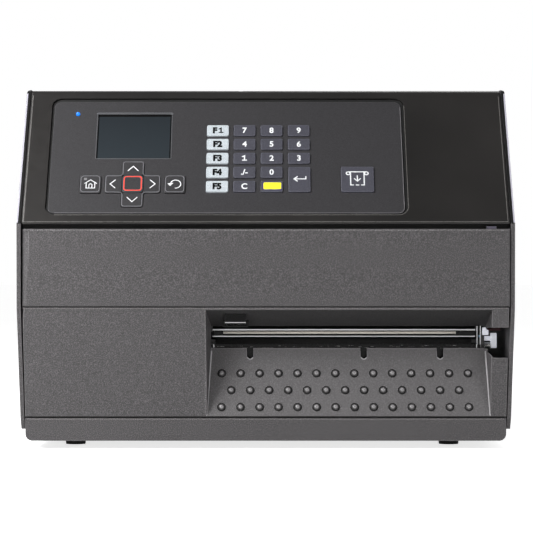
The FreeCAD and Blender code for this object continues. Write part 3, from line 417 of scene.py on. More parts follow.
# pale grey for painted highlights on edges, slot bottoms and the sensor lip
M["pale"] = smooth_plastic("pale_painted_highlight", rgb(176, 174, 176), rgb(196, 194, 196), rough=(0.3, 0.4), edge_wear_and_highlight=0.0)
# lighter grey for the display's bevel: a painted highlight
M["frame_d"] = smooth_plastic("display_bevel_highlight", rgb(74, 75, 78), rgb(84, 85, 88), rough=(0.3, 0.38))
M["catch"] = smooth_plastic("catch_plastic", rgb(84, 80, 94), rgb(96, 92, 106), rough=(0.3, 0.4))
M["maroon"] = smooth_plastic("maroon_felt", rgb(66, 34, 38), rgb(78, 42, 46), rough=(0.6, 0.7))
# light blue for a small painted glint in the notch
M["blue"] = smooth_plastic("blue_painted_glint", rgb(120, 160, 196), rgb(140, 178, 212), rough=(0.25, 0.35))


def glint_mat():
    """cutting edge: black oxide rubbed through to bright steel in short streaks, partly wear and partly painted glints
    """
    m = Mat("cutting_edge_wear_and_glints")
    m.bevel(0.0002)
    st = m.noise(1.0, 4.0, 0.7, (260.0, 1400.0, 1400.0))
    fi = m.noise(1500.0, 3.0, 0.7)
    k = m.remap(st, 0.0, 1.0, 0.5, 0.66)
    base = m.mix(k, (0.012, 0.012, 0.012, 1), (0.70, 0.69, 0.67, 1))
    base = m.mix(m.remap(fi, 0.0, 0.5, 0.5, 0.7), base, (0.05, 0.05, 0.05, 1))
    m.bump(st, 0.00004, 0.6)
    return m.done(Base_Color=base, Metallic=0.85, Roughness=m.remap(fi, 0.2, 0.4))


M["glint"] = glint_mat()
M["tint"] = glassy("tinted_window", (0.012, 0.013, 0.014, 1), 0.72)


def lcd_mat():
    m = Mat("lcd_glass")
    m.bevel(0.0003)
    sep = m.node("ShaderNodeSeparateXYZ")
    m.link(m.co, sep.inputs[0])
    g = m.remap(sep.outputs["Z"], 0.0, 1.0, 0.208, 0.244)
    dots = m.node("ShaderNodeTexBrick")
    mp = m.node("ShaderNodeMapping")
    mp.inputs["Rotation"].default_value = (math.radians(-54), 0, 0)
    m.link(m.co, mp.inputs["Vector"])
    m.link(mp.outputs["Vector"], dots.inputs["Vector"])
    dots.inputs["Scale"].default_value = 3200.0
    dots.inputs["Color1"].default_value = (1, 1, 1, 1)
    dots.inputs["Color2"].default_value = (0.94, 0.94, 0.94, 1)
    dots.inputs["Mortar"].default_value = (0.80, 0.80, 0.80, 1)
    base = m.mix(g, rgb(38, 45, 50), rgb(29, 35, 40))
    base = m.mix(0.5, base, dots.outputs["Color"], "MULTIPLY")
    m.bump(m.noise(900.0, 2.0), 0.000006, 0.3)
    return m.done(Base_Color=base, Roughness=0.3, Specular_IOR_Level=0.4)


M["lcd"] = lcd_mat()


def board_mat():
    m = Mat("circuit_board")
    m.bevel(0.0003)
    n = m.node("ShaderNodeTexBrick")
    m.link(m.co, n.inputs["Vector"])
    n.inputs["Scale"].default_value = 260.0
    n.inputs["Color1"].default_value = (0.012, 0.09, 0.035, 1)
    n.inputs["Color2"].default_value = (0.016, 0.11, 0.045, 1)
    n.inputs["Mortar"].default_value = (0.03, 0.18, 0.07, 1)
    sep = m.node("ShaderNodeNewGeometry")
    sx = m.node("ShaderNodeSeparateXYZ")
    m.link(sep.outputs["Position"], sx.inputs[0])
    base = m.mix(m.remap(m.noise(90.0, 3.0), 0.0, 0.6, 0.5, 0.65), n.outputs["Color"], (0.02, 0.02, 0.022, 1))
    m.bump(m.noise(600.0, 2.0), 0.00005, 0.5)
    return m.done(Base_Color=base, Roughness=0.45)


M["board"] = board_mat()


def led_mat():
    m = Mat("led_lens")
    f = m.noise(500.0, 3.0)
    c = m.ramp(f, rgb(10, 104, 214), rgb(24, 132, 232), 0.3, 0.7)
    m.bump(f, 0.00002, 0.3)
    return m.done(Base_Color=c, Roughness=0.18, Emission_Color=c, Emission_Strength=0.55, Coat_Weight=0.5)


M["led"] = led_mat()

by_node = {
    "left_cover": "shell", "side_door": "shell", "door_upper_panel": "cover", "door_lower_panel": "outlet",
    "front_skirt": "cover", "front_bezel": "bezel", "console_plate": "console", "side_door_window": "tint",
    "lcd_window": "lcd", "console_board": "board", "status_led": "led", "top_hinge": "dkmetal",
    "door_hinge_bracket": "zinc", "base_pan": "paint", "center_wall": "paint", "rear_panel": "paint", "feet": "foot",
    "cover_screws": "screw", "print_frame": "dkmetal", "tear_bar": "black", "platen_rubber": "roller",
    "platen_shaft": "steel", "print_head": "dkmetal", "head_lever": "lever", "ribbon_supply_spindle": "spindle",
    "ribbon_rewind_spindle": "spindle", "media_hub": "spindle", "media_retainer": "lever", "stepper_motor": "motor",
    "motor_pulley": "alloy", "drive_belt": "belt", "power_supply": "board", "main_board": "board",
    "inlet_and_switch_frame": "black", "power_switch": "black", "label_taken_sensor": "black",
    "key_home": "navkey", "key_back": "navkey", "key_arrows": "navkey", "key_ok": "navkey"}
for n, ob in N.items():
    k = by_node.get(n)
    if k is None:
        k = "keyw" if n.startswith("key_f") else "key"
    ob.data.materials.clear()
    ob.data.materials.append(M[k])


def refine(node, width, angle=30.0, seg=2):
    """joins the facets of the carried-over shell and rolls its sharp edges"""
    ob = N[node]
    w = ob.modifiers.new("weld", "WELD")
    w.merge_threshold = 0.00001
    d = ob.modifiers.new("planar", "DECIMATE")
    d.decimate_type = "DISSOLVE"
    d.angle_limit = math.radians(0.6)
    b = ob.modifiers.new("edge", "BEVEL")
    b.width = width
    b.segments = seg
    b.limit_method = "ANGLE"
    b.angle_limit = math.radians(angle)
    b.harden_normals = False
    b.use_clamp_overlap = True
    ws = ob.modifiers.new("normals", "WEIGHTED_NORMAL")
    ws.keep_sharp = True


for n in ("left_cover", "side_door", "door_upper_panel", "front_skirt", "console_plate", "rear_panel",
          "door_lower_panel"):
    refine(n, {"front_bezel": 0.0006, "console_plate": 0.00045, "rear_panel": 0.0003}.get(n, 0.0005))

# ---------------------------------------------------------------- key legends
W_KEY = 0.4      # top of the caps in panel space
W_NAV = 0.1
F_V = [85.5, 72.6, 59.5, 46.5, 33.5]


def legend(name, text, x, v, size, mat, body, w=W_KEY, sx=0.92, bold=0.2, one=None):
    cu = bpy.data.curves.new(name, "FONT")
    cu.body = text
    cu.size = size
    cu.align_x = "CENTER"
    cu.align_y = "CENTER"
    cu.extrude = 0.02
    cu.offset = bold
    cu.resolution_u = 4
    tmp = bpy.data.objects.new(name + "_t", cu)
    SC.collection.objects.link(tmp)
    bpy.context.view_layer.update()
    me = bpy.data.meshes.new_from_object(tmp.evaluated_get(bpy.context.evaluated_depsgraph_get()))
    bpy.data.objects.remove(tmp)
    xs = [q.co.x for q in me.vertices]
    ys = [q.co.y for q in me.vertices]
    cx, cy = (min(xs) + max(xs)) / 2, (min(ys) + max(ys)) / 2
    me.transform(Matrix.Translation((-cx, -cy, 0)))
    me.transform(Matrix.Diagonal((sx, 1.0, 1.0, 1.0)))
    me.transform(PANEL @ Matrix.Translation((x, v, w + 0.025)))
    if one is not None:
        b = Build(PANEL)
        h = 4.9
        b.stroke([(one - 1.35, v + h / 2 - 1.25), (one + 0.05, v + h / 2 - 0.45), (one + 0.05, v - h / 2 + 0.3)], 0.98, w - 0.02, w + 0.045)
        b.stroke([(one - 1.35, v - h / 2 + 0.45), (one + 1.45, v - h / 2 + 0.45)], 0.85, w - 0.02, w + 0.05)
        bm = bmesh.new()
        bm.from_mesh(me)
        k = [bm.verts.new(q) for q in b.v]
        for q in b.f:
            bm.faces.new([k[i] for i in q])
        bm.to_mesh(me)
        bm.free()
    me.name = name
    ob = bpy.data.objects.new(name, me)
    SC.collection.objects.link(ob)
    me.materials.clear()
    me.materials.append(mat)
    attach(ob, body)
    return ob


for i, v in enumerate(F_V):
    if i == 0:
        legend("legend_f1", "F", -37.2, v, 7.4, M["ink_k"], "key_f1", one=-32.9, bold=0.44)
    else:
        legend("legend_f%d" % (i + 1), "F%d" % (i + 1), -35.1, v, 7.4, M["ink_k"], "key_f%d" % (i + 1), bold=0.44)
g = Build(PANEL)
g.stroke([(-16.95, F_V[2] + 1.25), (-15.5, F_V[2] + 2.0), (-15.5, F_V[2] - 2.1)], 0.95, W_KEY - 0.02, W_KEY + 0.045)
g.stroke([(-17.0, F_V[2] - 2.0), (-14.0, F_V[2] - 2.0)], 0.85, W_KEY - 0.02, W_KEY + 0.05)
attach(g.make("legend_1", M["ink_w"]), "key_1")
for t, n, x, v in (("7", "key_7", -15.5, F_V[0]), ("4", "key_4", -15.5, F_V[1]), ("./-", "key_dot", -15.5, F_V[3]), ("C", "key_c", -15.5, F_V[4]), ("8", "key_8", 4.2, F_V[0]),
                   ("5", "key_5", 4.2, F_V[1]), ("2", "key_2", 4.2, F_V[2]), ("0", "key_0", 4.2, F_V[3]),
                   ("9", "key_9", 24.1, F_V[0]), ("6", "key_6", 24.1, F_V[1]), ("3", "key_3", 24.1, F_V[2])):
    legend("legend_" + n[4:], t, x, v, 6.9, M["ink_w"], n)

Z0, Z1 = W_KEY - 0.02, W_KEY + 0.05
# enter arrow
g = Build(PANEL)
ex, ev = 24.3, 39.9
g.stroke([(ex + 4.6, ev + 2.4), (ex + 4.6, ev + 0.3), (ex - 3.6, ev + 0.3)], 0.85, Z0, Z1)
g.stroke([(ex - 1.6, ev + 2.3), (ex - 3.9, ev + 0.3), (ex - 1.6, ev - 1.7)], 0.85, Z0, Z1 + 0.01)
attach(g.make("legend_enter", M["ink_w"]), "key_enter")
# label-feed symbol
g = Build(PANEL)
px, pv = 66.1, 40.3
for s in (-1, 1):
    g.disc((px + s * 6.6, pv + 5.0), 1.75, Z0, Z1, inner=0.85)
    g.stroke([(px + s * 4.9, pv + 5.6), (px + s * 4.9, pv - 5.7), (px + s * 2.9, pv - 5.7)], 0.85, Z0, Z1 + 0.01)
g.stroke([(px - 6.6, pv + 6.35), (px + 6.6, pv + 6.35)], 0.85, Z0, Z1 + 0.02)
g.stroke([(px - 0.9, pv - 5.7), (px + 0.9, pv - 5.7)], 0.85, Z0, Z1)
g.stroke([(px, pv + 2.8), (px, pv - 2.0)], 0.85, Z0, Z1)
g.stroke([(px - 2.2, pv + 0.1), (px, pv - 2.2), (px + 2.2, pv + 0.1)], 0.85, Z0, Z1 + 0.01)
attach(g.make("legend_feed", M["ink_w"]), "key_print")
# shift key: yellow patch in a violet edge
g = Build(PANEL)
g.slab(rr(4.7 - 6.9, 4.7 + 6.9, 33.7 - 3.6, 33.7 + 3.6, 1.1), Z0, W_KEY + 0.03)
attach(g.make("shift_edge", M["ink_v"]), "key_shift")
g = Build(PANEL)
g.slab(rr(4.7 - 6.4, 4.7 + 6.4, 33.8 - 3.1, 33.8 + 3.1, 0.9), Z0, W_KEY + 0.07)
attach(g.make("shift_patch", M["ink_y"]), "key_shift")
# home: house outline
g = Build(PANEL)
hx, hv = -126.3, 35.4
g.stroke([(hx - 4.4, hv + 0.6), (hx, hv + 3.9), (hx + 4.4, hv + 0.6)], 0.62, Z0, Z1 + 0.01)
g.stroke([(hx - 3.1, hv + 1.2), (hx - 3.1, hv - 3.6), (hx + 3.1, hv - 3.6), (hx + 3.1, hv + 1.2)], 0.62, Z0, Z1)
g.stroke([(hx - 1.1, hv - 3.4), (hx - 1.1, hv - 0.4), (hx, hv + 0.4), (hx + 1.1, hv - 0.4), (hx + 1.1, hv - 3.4)], 0.6, Z0, Z1 + 0.02)
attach(g.make("legend_home", M["ink_w"]), "key_home")
g = Build(PANEL)
g.slab(rr(hx - 4.9, hx - 2.7, hv + 3.7, hv + 5.7, 0.5), Z0, Z1)
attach(g.make("home_mark", M["ink_g"]), "key_home")
# back: turning arrow
g = Build(PANEL)
bx, bv = -65.0, 35.4
arc = [(bx + 3.7 * math.cos(math.radians(a)), bv + 3.7 * math.sin(math.radians(a))) for a in range(172, -96, -12)]
g.stroke(arc, 0.72, Z0, Z1)
g.slab([(bx - 5.9, bv + 0.6), (bx - 1.5, bv + 1.2), (bx - 3.9, bv - 1.8)][::-1], Z0, Z1 + 0.01)
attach(g.make("legend_back", M["ink_w"]), "key_back")
# direction cross: four chevrons
g = Build(PANEL)
NX, NV = -96.0, 35.8
ZA, ZB = W_NAV - 0.02, W_NAV + 0.05
for dx, dv in ((0, 1), (0, -1), (-1, 0), (1, 0)):
    cx, cv = NX + dx * 14.4, NV + dv * 14.2
    ax, av = (3.6, 0) if dx == 0 else (0, 3.6)
    tip = (cx + dx * 1.8, cv + dv * 2.0)
    g.stroke([(cx - ax - dx * 1.8, cv - av - dv * 2.0), tip, (cx + ax - dx * 1.8, cv + av - dv * 2.0)], 0.72, ZA, ZB)
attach(g.make("legend_arrows", M["ink_w"]), "key_arrows")


def rim(name, ring_out, ring_in, w0, h, body, mat="rim"):
    b = Build(PANEL)
    b.slab(ring_out, w0 - 0.05, w0 + h, ring_in)
    o = b.make(name, M[mat])
    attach(o, body)
    return o


# rims round the home and back keys, coloured as a painted highlight
for nm, x, v, w, h in (("home", -126.5, 35.6, 15.1, 16.2), ("back", -65.6, 35.6, 14.8, 16.2)):
    a, b2 = 0.55, 1.05
    rim("rim_" + nm, rr(x - w / 2 + a, x + w / 2 - a, v - h / 2 + a, v + h / 2 - a, 2.6),
        rr(x - w / 2 + b2, x + w / 2 - b2, v - h / 2 + b2, v + h / 2 - b2, 2.2), W_KEY, 0.10, "key_" + nm)


def cross_ring(g, r_out=2.2, r_in=2.0, n=5):
    """outline of the direction cross moved inward by g"""
    a, b, c, d = 40.1 / 2 - g, 16.2 / 2 - g, 15.8 / 2 - g, 41.8 / 2 - g
    pts = []
    corners = [(a, b, 0, 1), (c, b, 180, -1), (c, d, 0, 1), (-c, d, 90, 1), (-c, b, 270, -1), (-a, b, 90, 1),
               (-a, -b, 180, 1), (-c, -b, 0, -1), (-c, -d, 180, 1), (c, -d, 270, 1), (c, -b, 90, -1), (a, -b, 270, 1)]
    quad = [(1, 1), (1, 1), (1, 1), (-1, 1), (-1, 1), (-1, 1), (-1, -1), (-1, -1), (-1, -1), (1, -1), (1, -1), (1, -1)]
    for (x, y, s, kind), (qx, qy) in zip(corners, quad):
        r = max(0.3, r_out - g) if kind == 1 else r_in + g
        if kind == 1:
            cx, cy = x - qx * r, y - qy * r
            a0 = s
            for k in range(n + 1):
                t = math.radians(a0 + 90.0 * k / n)
                pts.append((NX + cx + r * math.cos(t), NV + cy + r * math.sin(t)))
        else:
            cx, cy = x + qx * r, y + qy * r
            # inner corner: arc runs the other way round
            st = {(1, 1): 270, (-1, 1): 0, (-1, -1): 90, (1, -1): 180}[(qx, qy)]
            for k in range(n + 1):
                t = math.radians(st - 90.0 * k / n)
                pts.append((NX + cx + r * math.cos(t), NV + cy + r * math.sin(t)))
    return pts


# rim round the direction cross, coloured as a painted highlight
rim("rim_arrows", cross_ring(0.45), cross_ring(0.95), W_NAV, 0.10, "key_arrows")
OX, OV = -95.9, 36.0
rim("ring_ok_shade", rr(OX - 7.5, OX + 7.5, OV - 7.6, OV + 7.6, 2.9), rr(OX - 6.75, OX + 6.75, OV - 6.6, OV + 6.6, 2.4), W_KEY, 0.02, "key_ok", "ink_t")
rim("ring_ok", rr(OX - 6.75, OX + 6.75, OV - 6.75, OV + 6.75, 2.3), rr(OX - 5.8, OX + 5.8, OV - 5.8, OV + 5.8, 1.5), W_KEY, 0.12, "key_ok", "ink_r")
rim("ring_ok_inner", rr(OX - 5.8, OX + 5.8, OV - 5.8, OV + 5.8, 1.5), rr(OX - 5.2, OX + 5.2, OV - 5.2, OV + 5.2, 1.1), W_KEY, 0.02, "key_ok", "ink_t")

# ------------------------------------------------------------ smaller details
def xbar(b, x0, x1, y0, y1, z0, z1, c=0.12):
    """bar with chamfered edges, sizes in mm from the foremost plane"""
    c = min(c, (y1 - y0) * 0.4, (z1 - z0) * 0.4, (x1 - x0) * 0.4)

    def ring(x, k):
        return [(x, y0 + c + k, z0 + k), (x, y1 - c - k, z0 + k), (x, y1 - k, z0 + c + k), (x, y1 - k, z1 - c - k),
                (x, y1 - c - k, z1 - k), (x, y0 + c + k, z1 - k), (x, y0 + k, z1 - c - k), (x, y0 + k, z0 + c + k)]
    rs = [ring(x0, c * 0.7), ring(x0 + c, 0.0), ring(x1 - c, 0.0), ring(x1, c * 0.7)]
    vs = [tuple(P(*p)) for r in rs for p in r]
    fs = [tuple(range(8)), tuple(range(24, 32))[::-1]]
    for k in range(3):
        for i in range(8):
            j = (i + 1) % 8
            fs.append((8 * k + i, 8 * k + j, 8 * k + 8 + j, 8 * k + 8 + i))
    b.add(vs, fs)


def bars(name, mat, body, *lst, c=0.12):
    b = Build()
    for q in lst:
        xbar(b, *q, c=c)
    o = b.make(name, M[mat])
    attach(o, body)
    return o


# print head front: two bright edge strips, the ceramic strip and the end block
bars("head_edge_strips", "alloy", "print_head", (-38.8, 152.1, 33.5, 34.55, 84.1, 85.2), (-38.8, 152.1, 33.5, 34.55, 79.4, 80.3))
bars("head_face", "black", "print_head", (-38.4, 151.9, 34.0, 34.55, 80.2, 84.2))
bars("head_ceramic", "ceram", "print_head", (-30.9, 138.0, 33.7, 34.1, 81.7, 83.3))
bars("head_end_block", "black", "print_head", (-38.0, -31.2, 33.4, 34.1, 80.8, 83.9))
# tear bar: streak of wear and painted glints, and bright cut ends
g = Build()
seed = 7
px0 = -37.0
while px0 < 151.5:
    seed = (seed * 1103515245 + 12345) % 2147483648
    ln = 1.6 + (seed % 1000) / 1000.0 * 5.0
    seed = (seed * 1103515245 + 12345) % 2147483648
    dz = ((seed % 1000) / 1000.0 - 0.5) * 2.4
    hh = 0.16 + (seed % 77) / 77.0 * 0.34
    xbar(g, px0, min(px0 + ln, 151.8), 27.72, 28.02, 72.3 + dz, 72.3 + dz + hh, 0.06)
    px0 += ln * 0.92
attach(g.make("tear_bar_streak", M["glint"]), "chassis")
bars("tear_bar_ends", "alloy", "chassis", (-38.0, -37.3, 27.7, 29.2, 69.5, 74.3), (152.2, 152.9, 27.7, 29.2, 69.5, 74.3))
# parts of the mechanism that show in the notch at the right
bars("guide_plate", "alloy", "chassis", (155.2, 155.9, 30.6, 33.0, 70.0, 92.0), (152.9, 153.5, 31.0, 33.0, 70.0, 88.0))
# white parts carry a painted glow so they read bright in the shaded notch
bars("guide_cap", "whitep", "chassis", (157.0, 161.5, 31.0, 33.0, 80.8, 84.6), (157.0, 160.2, 31.0, 33.0, 84.5, 86.4), c=0.35)
bars("bearing_block", "whitep", "chassis", (163.3, 167.7, 34.0, 38.0, 71.3, 82.2), (158.6, 163.5, 34.6, 37.0, 76.6, 80.0), c=0.4)
bars("felt_pad", "maroon", "chassis", (163.0, 171.0, 40.0, 44.0, 83.6, 85.8), (158.6, 163.2, 41.0, 44.0, 83.9, 85.5), c=0.3)
# a small light-blue piece standing in for a painted glint
bars("blue_glint_piece", "blue", "chassis", (154.3, 155.3, 30.9, 33.0, 79.3, 80.8), c=0.2)
g = Build()
turns, wr0, cr = 6.0, 0.34, 2.1
path = []
for k in range(int(turns * 18) + 1):
    t = k / 18.0 * 2 * math.pi
    path.append((158.7 + 4.6 * k / (turns * 18), 35.6 + cr * math.cos(t), 73.1 + cr * math.sin(t)))
vs, fs = [], []
for k, q in enumerate(path):
    q = Vector(q)
    d = (Vector(path[min(k + 1, len(path) - 1)]) - Vector(path[max(k - 1, 0)])).normalized()
    u = d.cross(Vector((1, 0, 0))).normalized()
    w = d.cross(u)
    vs += [tuple(P(*(q + (u * math.cos(a) + w * math.sin(a)) * wr0))) for a in [2 * math.pi * i / 8 for i in range(8)]]
for k in range(len(path) - 1):
    fs += [(8 * k + i, 8 * k + (i + 1) % 8, 8 * k + 8 + (i + 1) % 8, 8 * k + 8 + i) for i in range(8)]
fs += [tuple(range(8)), tuple(range(8 * len(path) - 8, 8 * len(path)))]
g.add(vs, fs)
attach(g.make("release_spring", M["steel"], True), "chassis")
# label-taken sensor: painted highlight along its lower lip; latch: coloured tab
bars("sensor_lip_highlight", "pale", "front_door", (-29.2, -14.2, 7.0, 7.45, 90.1, 90.8))
bars("catch_face", "catch", "front_door", (157.4, 164.3, 2.6, 3.05, 157.2, 159.1), c=0.2)

# outlet ramp: beads with a painted highlight on top and painted shade on shoulders and sides, painted shade in their
# ring grooves, painted highlight rims round them, and painted highlight rims and crescents round the three slots
RY, RZ = Vector((0, 0.331, 0.9436)), Vector((0, -0.9436, 0.331))
RAMP = Matrix.Translation(P(0, 8.9, 23.6)) @ Matrix(((1, 0, 0, 0), (0, RY.y, RZ.y, 0), (0, RY.z, RZ.z, 0), (0, 0, 0, 1))) @ Matrix.Scale(0.001, 4)
bead, midb, sideb, ringb, outb = Build(RAMP), Build(RAMP), Build(RAMP), Build(RAMP), Build(RAMP)
prof = [(2.42, -0.42), (2.41, 0.1), (2.27, 0.6), (1.98, 1.05), (1.62, 1.36), (1.1, 1.63), (0.5, 1.77)]
SEG = 24


def lathe(b, cx, cv, rows, close):
    vs = [(cx + r * math.cos(2 * math.pi * k / SEG), cv + r * math.sin(2 * math.pi * k / SEG), h) for r, h in rows for k in range(SEG)]
    fs = []
    for q in range(len(rows) - 1):
        fs += [(q * SEG + k, q * SEG + (k + 1) % SEG, (q + 1) * SEG + (k + 1) % SEG, (q + 1) * SEG + k) for k in range(SEG)]
    last = (len(rows) - 1) * SEG
    if close:
        vs.append((cx, cv, rows[-1][1] + 0.03))
        fs += [(last + k, last + (k + 1) % SEG, last + SEG) for k in range(SEG)]
    else:
        fs.append(tuple(range(last, last + SEG)))
    fs.append(tuple(range(SEG))[::-1])
    b.add(vs, fs)


for x0, z, n in ((-31.7, 53.6, 14), (-24.8, 41.7, 13), (-31.7, 29.8, 14)):
    for i in range(n):
        cx, cv = x0 + i * 13.63, (z - 23.6) / 0.9436
        lathe(sideb, cx, cv, prof[:4], False)
        lathe(midb, cx, cv, [(2.0, 1.0), (1.98, 1.05), (1.62, 1.36), (1.3, 1.53)], False)
        lathe(bead, cx, cv, [(1.3, 1.45), (1.29, 1.54), (1.0, 1.66), (0.5, 1.77)], True)
        ringb.disc((cx, cv), 3.2, -0.44, -0.06, inner=2.44, n=SEG)
        outb.disc((cx, cv), 3.5, -0.1, 0.06, inner=3.2, n=SEG)
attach(bead.make("outlet_beads", M["bead"], True), "front_door")
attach(midb.make("outlet_bead_shoulders", M["beadm"], True), "front_door")
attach(sideb.make("outlet_bead_sides", M["beads"], True), "front_door")
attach(ringb.make("outlet_bead_grooves", M["ringd"]), "front_door")
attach(outb.make("outlet_bead_rim_highlights", M["rub"]), "front_door")
g, g2 = Build(RAMP), Build(RAMP)
for x in (-11.3, 70.7, 125.8):
    s0, s1 = (65.7 - 23.6) / 0.9436, (69.3 - 23.6) / 0.9436
    arc = [(x + 2.5 * math.cos(math.radians(a)), s0 + 2.6 * math.sin(math.radians(a))) for a in range(180, 361, 15)]
    g.stroke([(x - 2.5, s1)] + arc + [(x + 2.5, s1)], 0.42, -0.1, 0.08)
    arc = [(x + 2.0 * math.cos(math.radians(a)), s0 + 2.05 * math.sin(math.radians(a))) for a in range(205, 336, 13)]
    g2.stroke(arc, 0.5, -0.6, -0.12)
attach(g.make("slot_rims", M["lip"]), "front_door")
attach(g2.make("slot_crescents", M["pale"]), "front_door")

# console: a raised strip of painted highlight along the plate's lower and right edges, painted shade in the gap round
# the plate, and the display's bevelled frame lightened as a painted highlight
WP = -0.6
P0, P1, PV0, PV1 = -156.0, 99.5, 9.7, 113.2
g = Build(PANEL)
g.stroke([(P0 + 5.0, PV0 + 0.3), (P1 - 4.6, PV0 + 0.3)] + [(P1 - 4.6 + 4.3 * math.sin(math.radians(a)), PV0 + 4.6 - 4.3 * math.cos(math.radians(a)))
         for a in range(15, 91, 15)] + [(P1 - 0.3, PV1 - 5.0)], 0.42, WP - 0.2, WP + 0.07)
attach(g.make("console_edge_highlight", M["lip"]), "chassis")
# painted shade filling the gap between the plate and the bezel opening
C0, C1, CV0, CV1 = -158.0, 101.8, 8.2, 116.4
g = Build(PANEL)
g.slab(rr(C0 + 0.15, C1 - 0.15, CV0 + 0.15, CV1 - 0.15, 6.8), -1.98, -1.4, rr(P0 - 0.12, P1 + 0.12, PV0 - 0.12, PV1 + 0.12, 5.1))
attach(g.make("console_gap", M["gapd"]), "chassis")
# painted highlight lines along the lower and right edge of the console opening and along the bezel's lower and side
# edges
g = Build(PANEL)
g.stroke([(C0 + 7.0, CV0 - 0.3), (C1 - 7.0, CV0 - 0.3)] + [(C1 - 7.0 + 7.3 * math.sin(math.radians(a)), CV0 + 7.0 - 7.3 * math.cos(math.radians(a)))
         for a in range(10, 91, 10)] + [(C1 + 0.3, CV1 - 7.0)], 0.5, -0.1, 0.05)
g.stroke([(-172.4, 1.7), (172.4, 1.7)], 0.55, -0.12, 0.05)
g.stroke([(172.5, 2.2), (172.5, 118.0)], 0.5, -0.12, 0.05)
g.stroke([(-172.6, 2.2), (-172.6, 119.0)], 0.7, -0.12, 0.05)
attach(g.make("bezel_edge_lines", M["brim"]), "chassis")


# painted reflection strips on the side covers' outer edges
for nm, xa, xb, bd in (("cover_rim_left", -177.4, -176.5, "chassis"), ("cover_rim_right", 176.5, 177.4, "side_door")):
    g = Build(PANEL)
    g.slab([(xa, 1.5), (xb, 1.5), (xb, 121.5), (xa, 121.5)], -1.5, -0.62)
    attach(g.make(nm, M["rimc"]), bd)


# painted highlight strips along the rounded edge under each seam and a painted shade line above it
def skin_line(name, mat, body, x0, x1, z0, z1, front, n=2, t=0.05, back=0.4):
    """thin strip that lies on a leaning front face"""
    b = Build()
    ya, yb = front(z0), front(z1)
    vs = []
    for x in (x0, x1):
        vs += [tuple(P(x, ya - t, z0 + 0.06)), tuple(P(x, yb - t, z1 - 0.06)), tuple(P(x, yb, z1)), tuple(P(x, yb + back, z1)),
               tuple(P(x, ya + back, z0)), tuple(P(x, ya, z0))]
    fs = [(0, 1, 2, 3, 4, 5), (11, 10, 9, 8, 7, 6)] + [(i, (i + 1) % 6, 6 + (i + 1) % 6, 6 + i) for i in range(6)]
    b.add(vs, fs)
    o = b.make(name, M[mat])
    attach(o, body)
    return o


def f_up(z):
    return 1.0 - (z - 101.9) / 55.3


def f_lo(z):
    return 1.6 + (101.3 - z) * 7.4 / 78.3


def f_sk(z):
    return 9.0


skin_line("seam_line_upper", "gapd", "front_door", -173.2, 173.2, 101.95, 102.35, f_up, t=0.02, back=0.3)
skin_line("painted_highlight_upper", "rub", "front_door", -172.6, 172.6, 100.3, 101.15, f_lo, t=0.03, back=0.3)
skin_line("seam_line_lower", "gapd", "front_door", -171.6, 171.6, 23.05, 23.45, f_lo, t=0.02, back=0.3)
# painted shade: a dark sheet behind the seam above the skirt
bars("seam_shade_sheet", "gapd", "chassis", (-171.0, 171.0, 12.03, 12.17, 20.6, 22.95), c=0.03)
# folded-up edges of the base pan that close the gap under the side covers
bars("pan_flanges", "paint", "chassis", (-171.3, -170.4, 18.6, 446.0, 10.8, 17.0), (170.4, 171.3, 18.6, 446.0, 10.8, 17.0), c=0.2)
skin_line("painted_highlight_lower", "rub", "chassis", -170.6, 170.6, 20.9, 21.6, f_sk, t=0.03, back=0.3)
skin_line("painted_highlight_top", "rub", "front_door", -172.6, 172.4, 155.9, 156.55, f_up, t=0.011, back=0.3)
# painted highlight along the left front edge of the outlet recess
g = Build()
for xa, xb in ((-43.5, -42.9),):
    vs = []
    for z in (24.6, 98.9):
        y = f_lo(z)
        vs += [tuple(P(xa, y - 0.03, z)), tuple(P(xb, y - 0.03, z)), tuple(P(xb, y + 0.3, z)), tuple(P(xa, y + 0.3, z))]
    g.add(vs, [(0, 1, 2, 3), (7, 6, 5, 4)] + [(i, (i + 1) % 4, 4 + (i + 1) % 4, 4 + i) for i in range(4)])
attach(g.make("painted_highlight_side", M["rub"]), "front_door")
# painted highlight lines along the rounded corners between the ramp and its two side walls
RS = (69.5 - 23.6) / 0.9436
g = Build(RAMP)
g.stroke([(-42.2 + 3.0 * k / 12.0, 0.8 + (RS - 1.2) * k / 12.0) for k in range(13)], 1.0, -0.1, 0.30)
g.stroke([(160.6 - 2.0 * k / 12.0, 0.8 + (RS - 1.2) * k / 12.0) for k in range(13)], 1.0, -0.1, 0.30)
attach(g.make("ramp_corner_lines", M["pale"]), "front_door")

# display: frame ring and top strip in a lighter grey as a painted highlight on the bevel
LX0, LX1, LV0, LV1 = -123.7, -69.2, 59.8, 103.0
g = Build(PANEL)
g.slab(rr(LX0 - 0.45, LX1 + 0.45, LV0 - 0.45, LV1 + 0.3, 1.0), WP - 0.2, WP + 0.06, rr(LX0 + 0.1, LX1 - 0.1, LV0 + 0.1, LV1 - 0.1, 0.8))
g.slab(rr(LX0 - 1.0, LX1 + 1.0, LV1 - 1.5, LV1 - 0.2, 0.3), WP - 0.15, WP + 0.08)
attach(g.make("display_bevel_highlight", M["frame_d"]), "chassis")
g = Build(PANEL)
g.slab(rr(LX0 + 0.2, LX1 - 0.2, LV1 - 3.4, LV1 - 1.5, 0.2), -1.15, -1.02)
g.slab(rr(LX0 + 0.15, LX0 + 1.1, LV0 + 0.3, LV1 - 1.5, 0.2), -1.15, -1.03)
g.slab(rr(LX1 - 1.1, LX1 - 0.15, LV0 + 0.3, LV1 - 1.5, 0.2), -1.15, -1.03)
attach(g.make("display_shade", M["ink_k"]), "chassis")

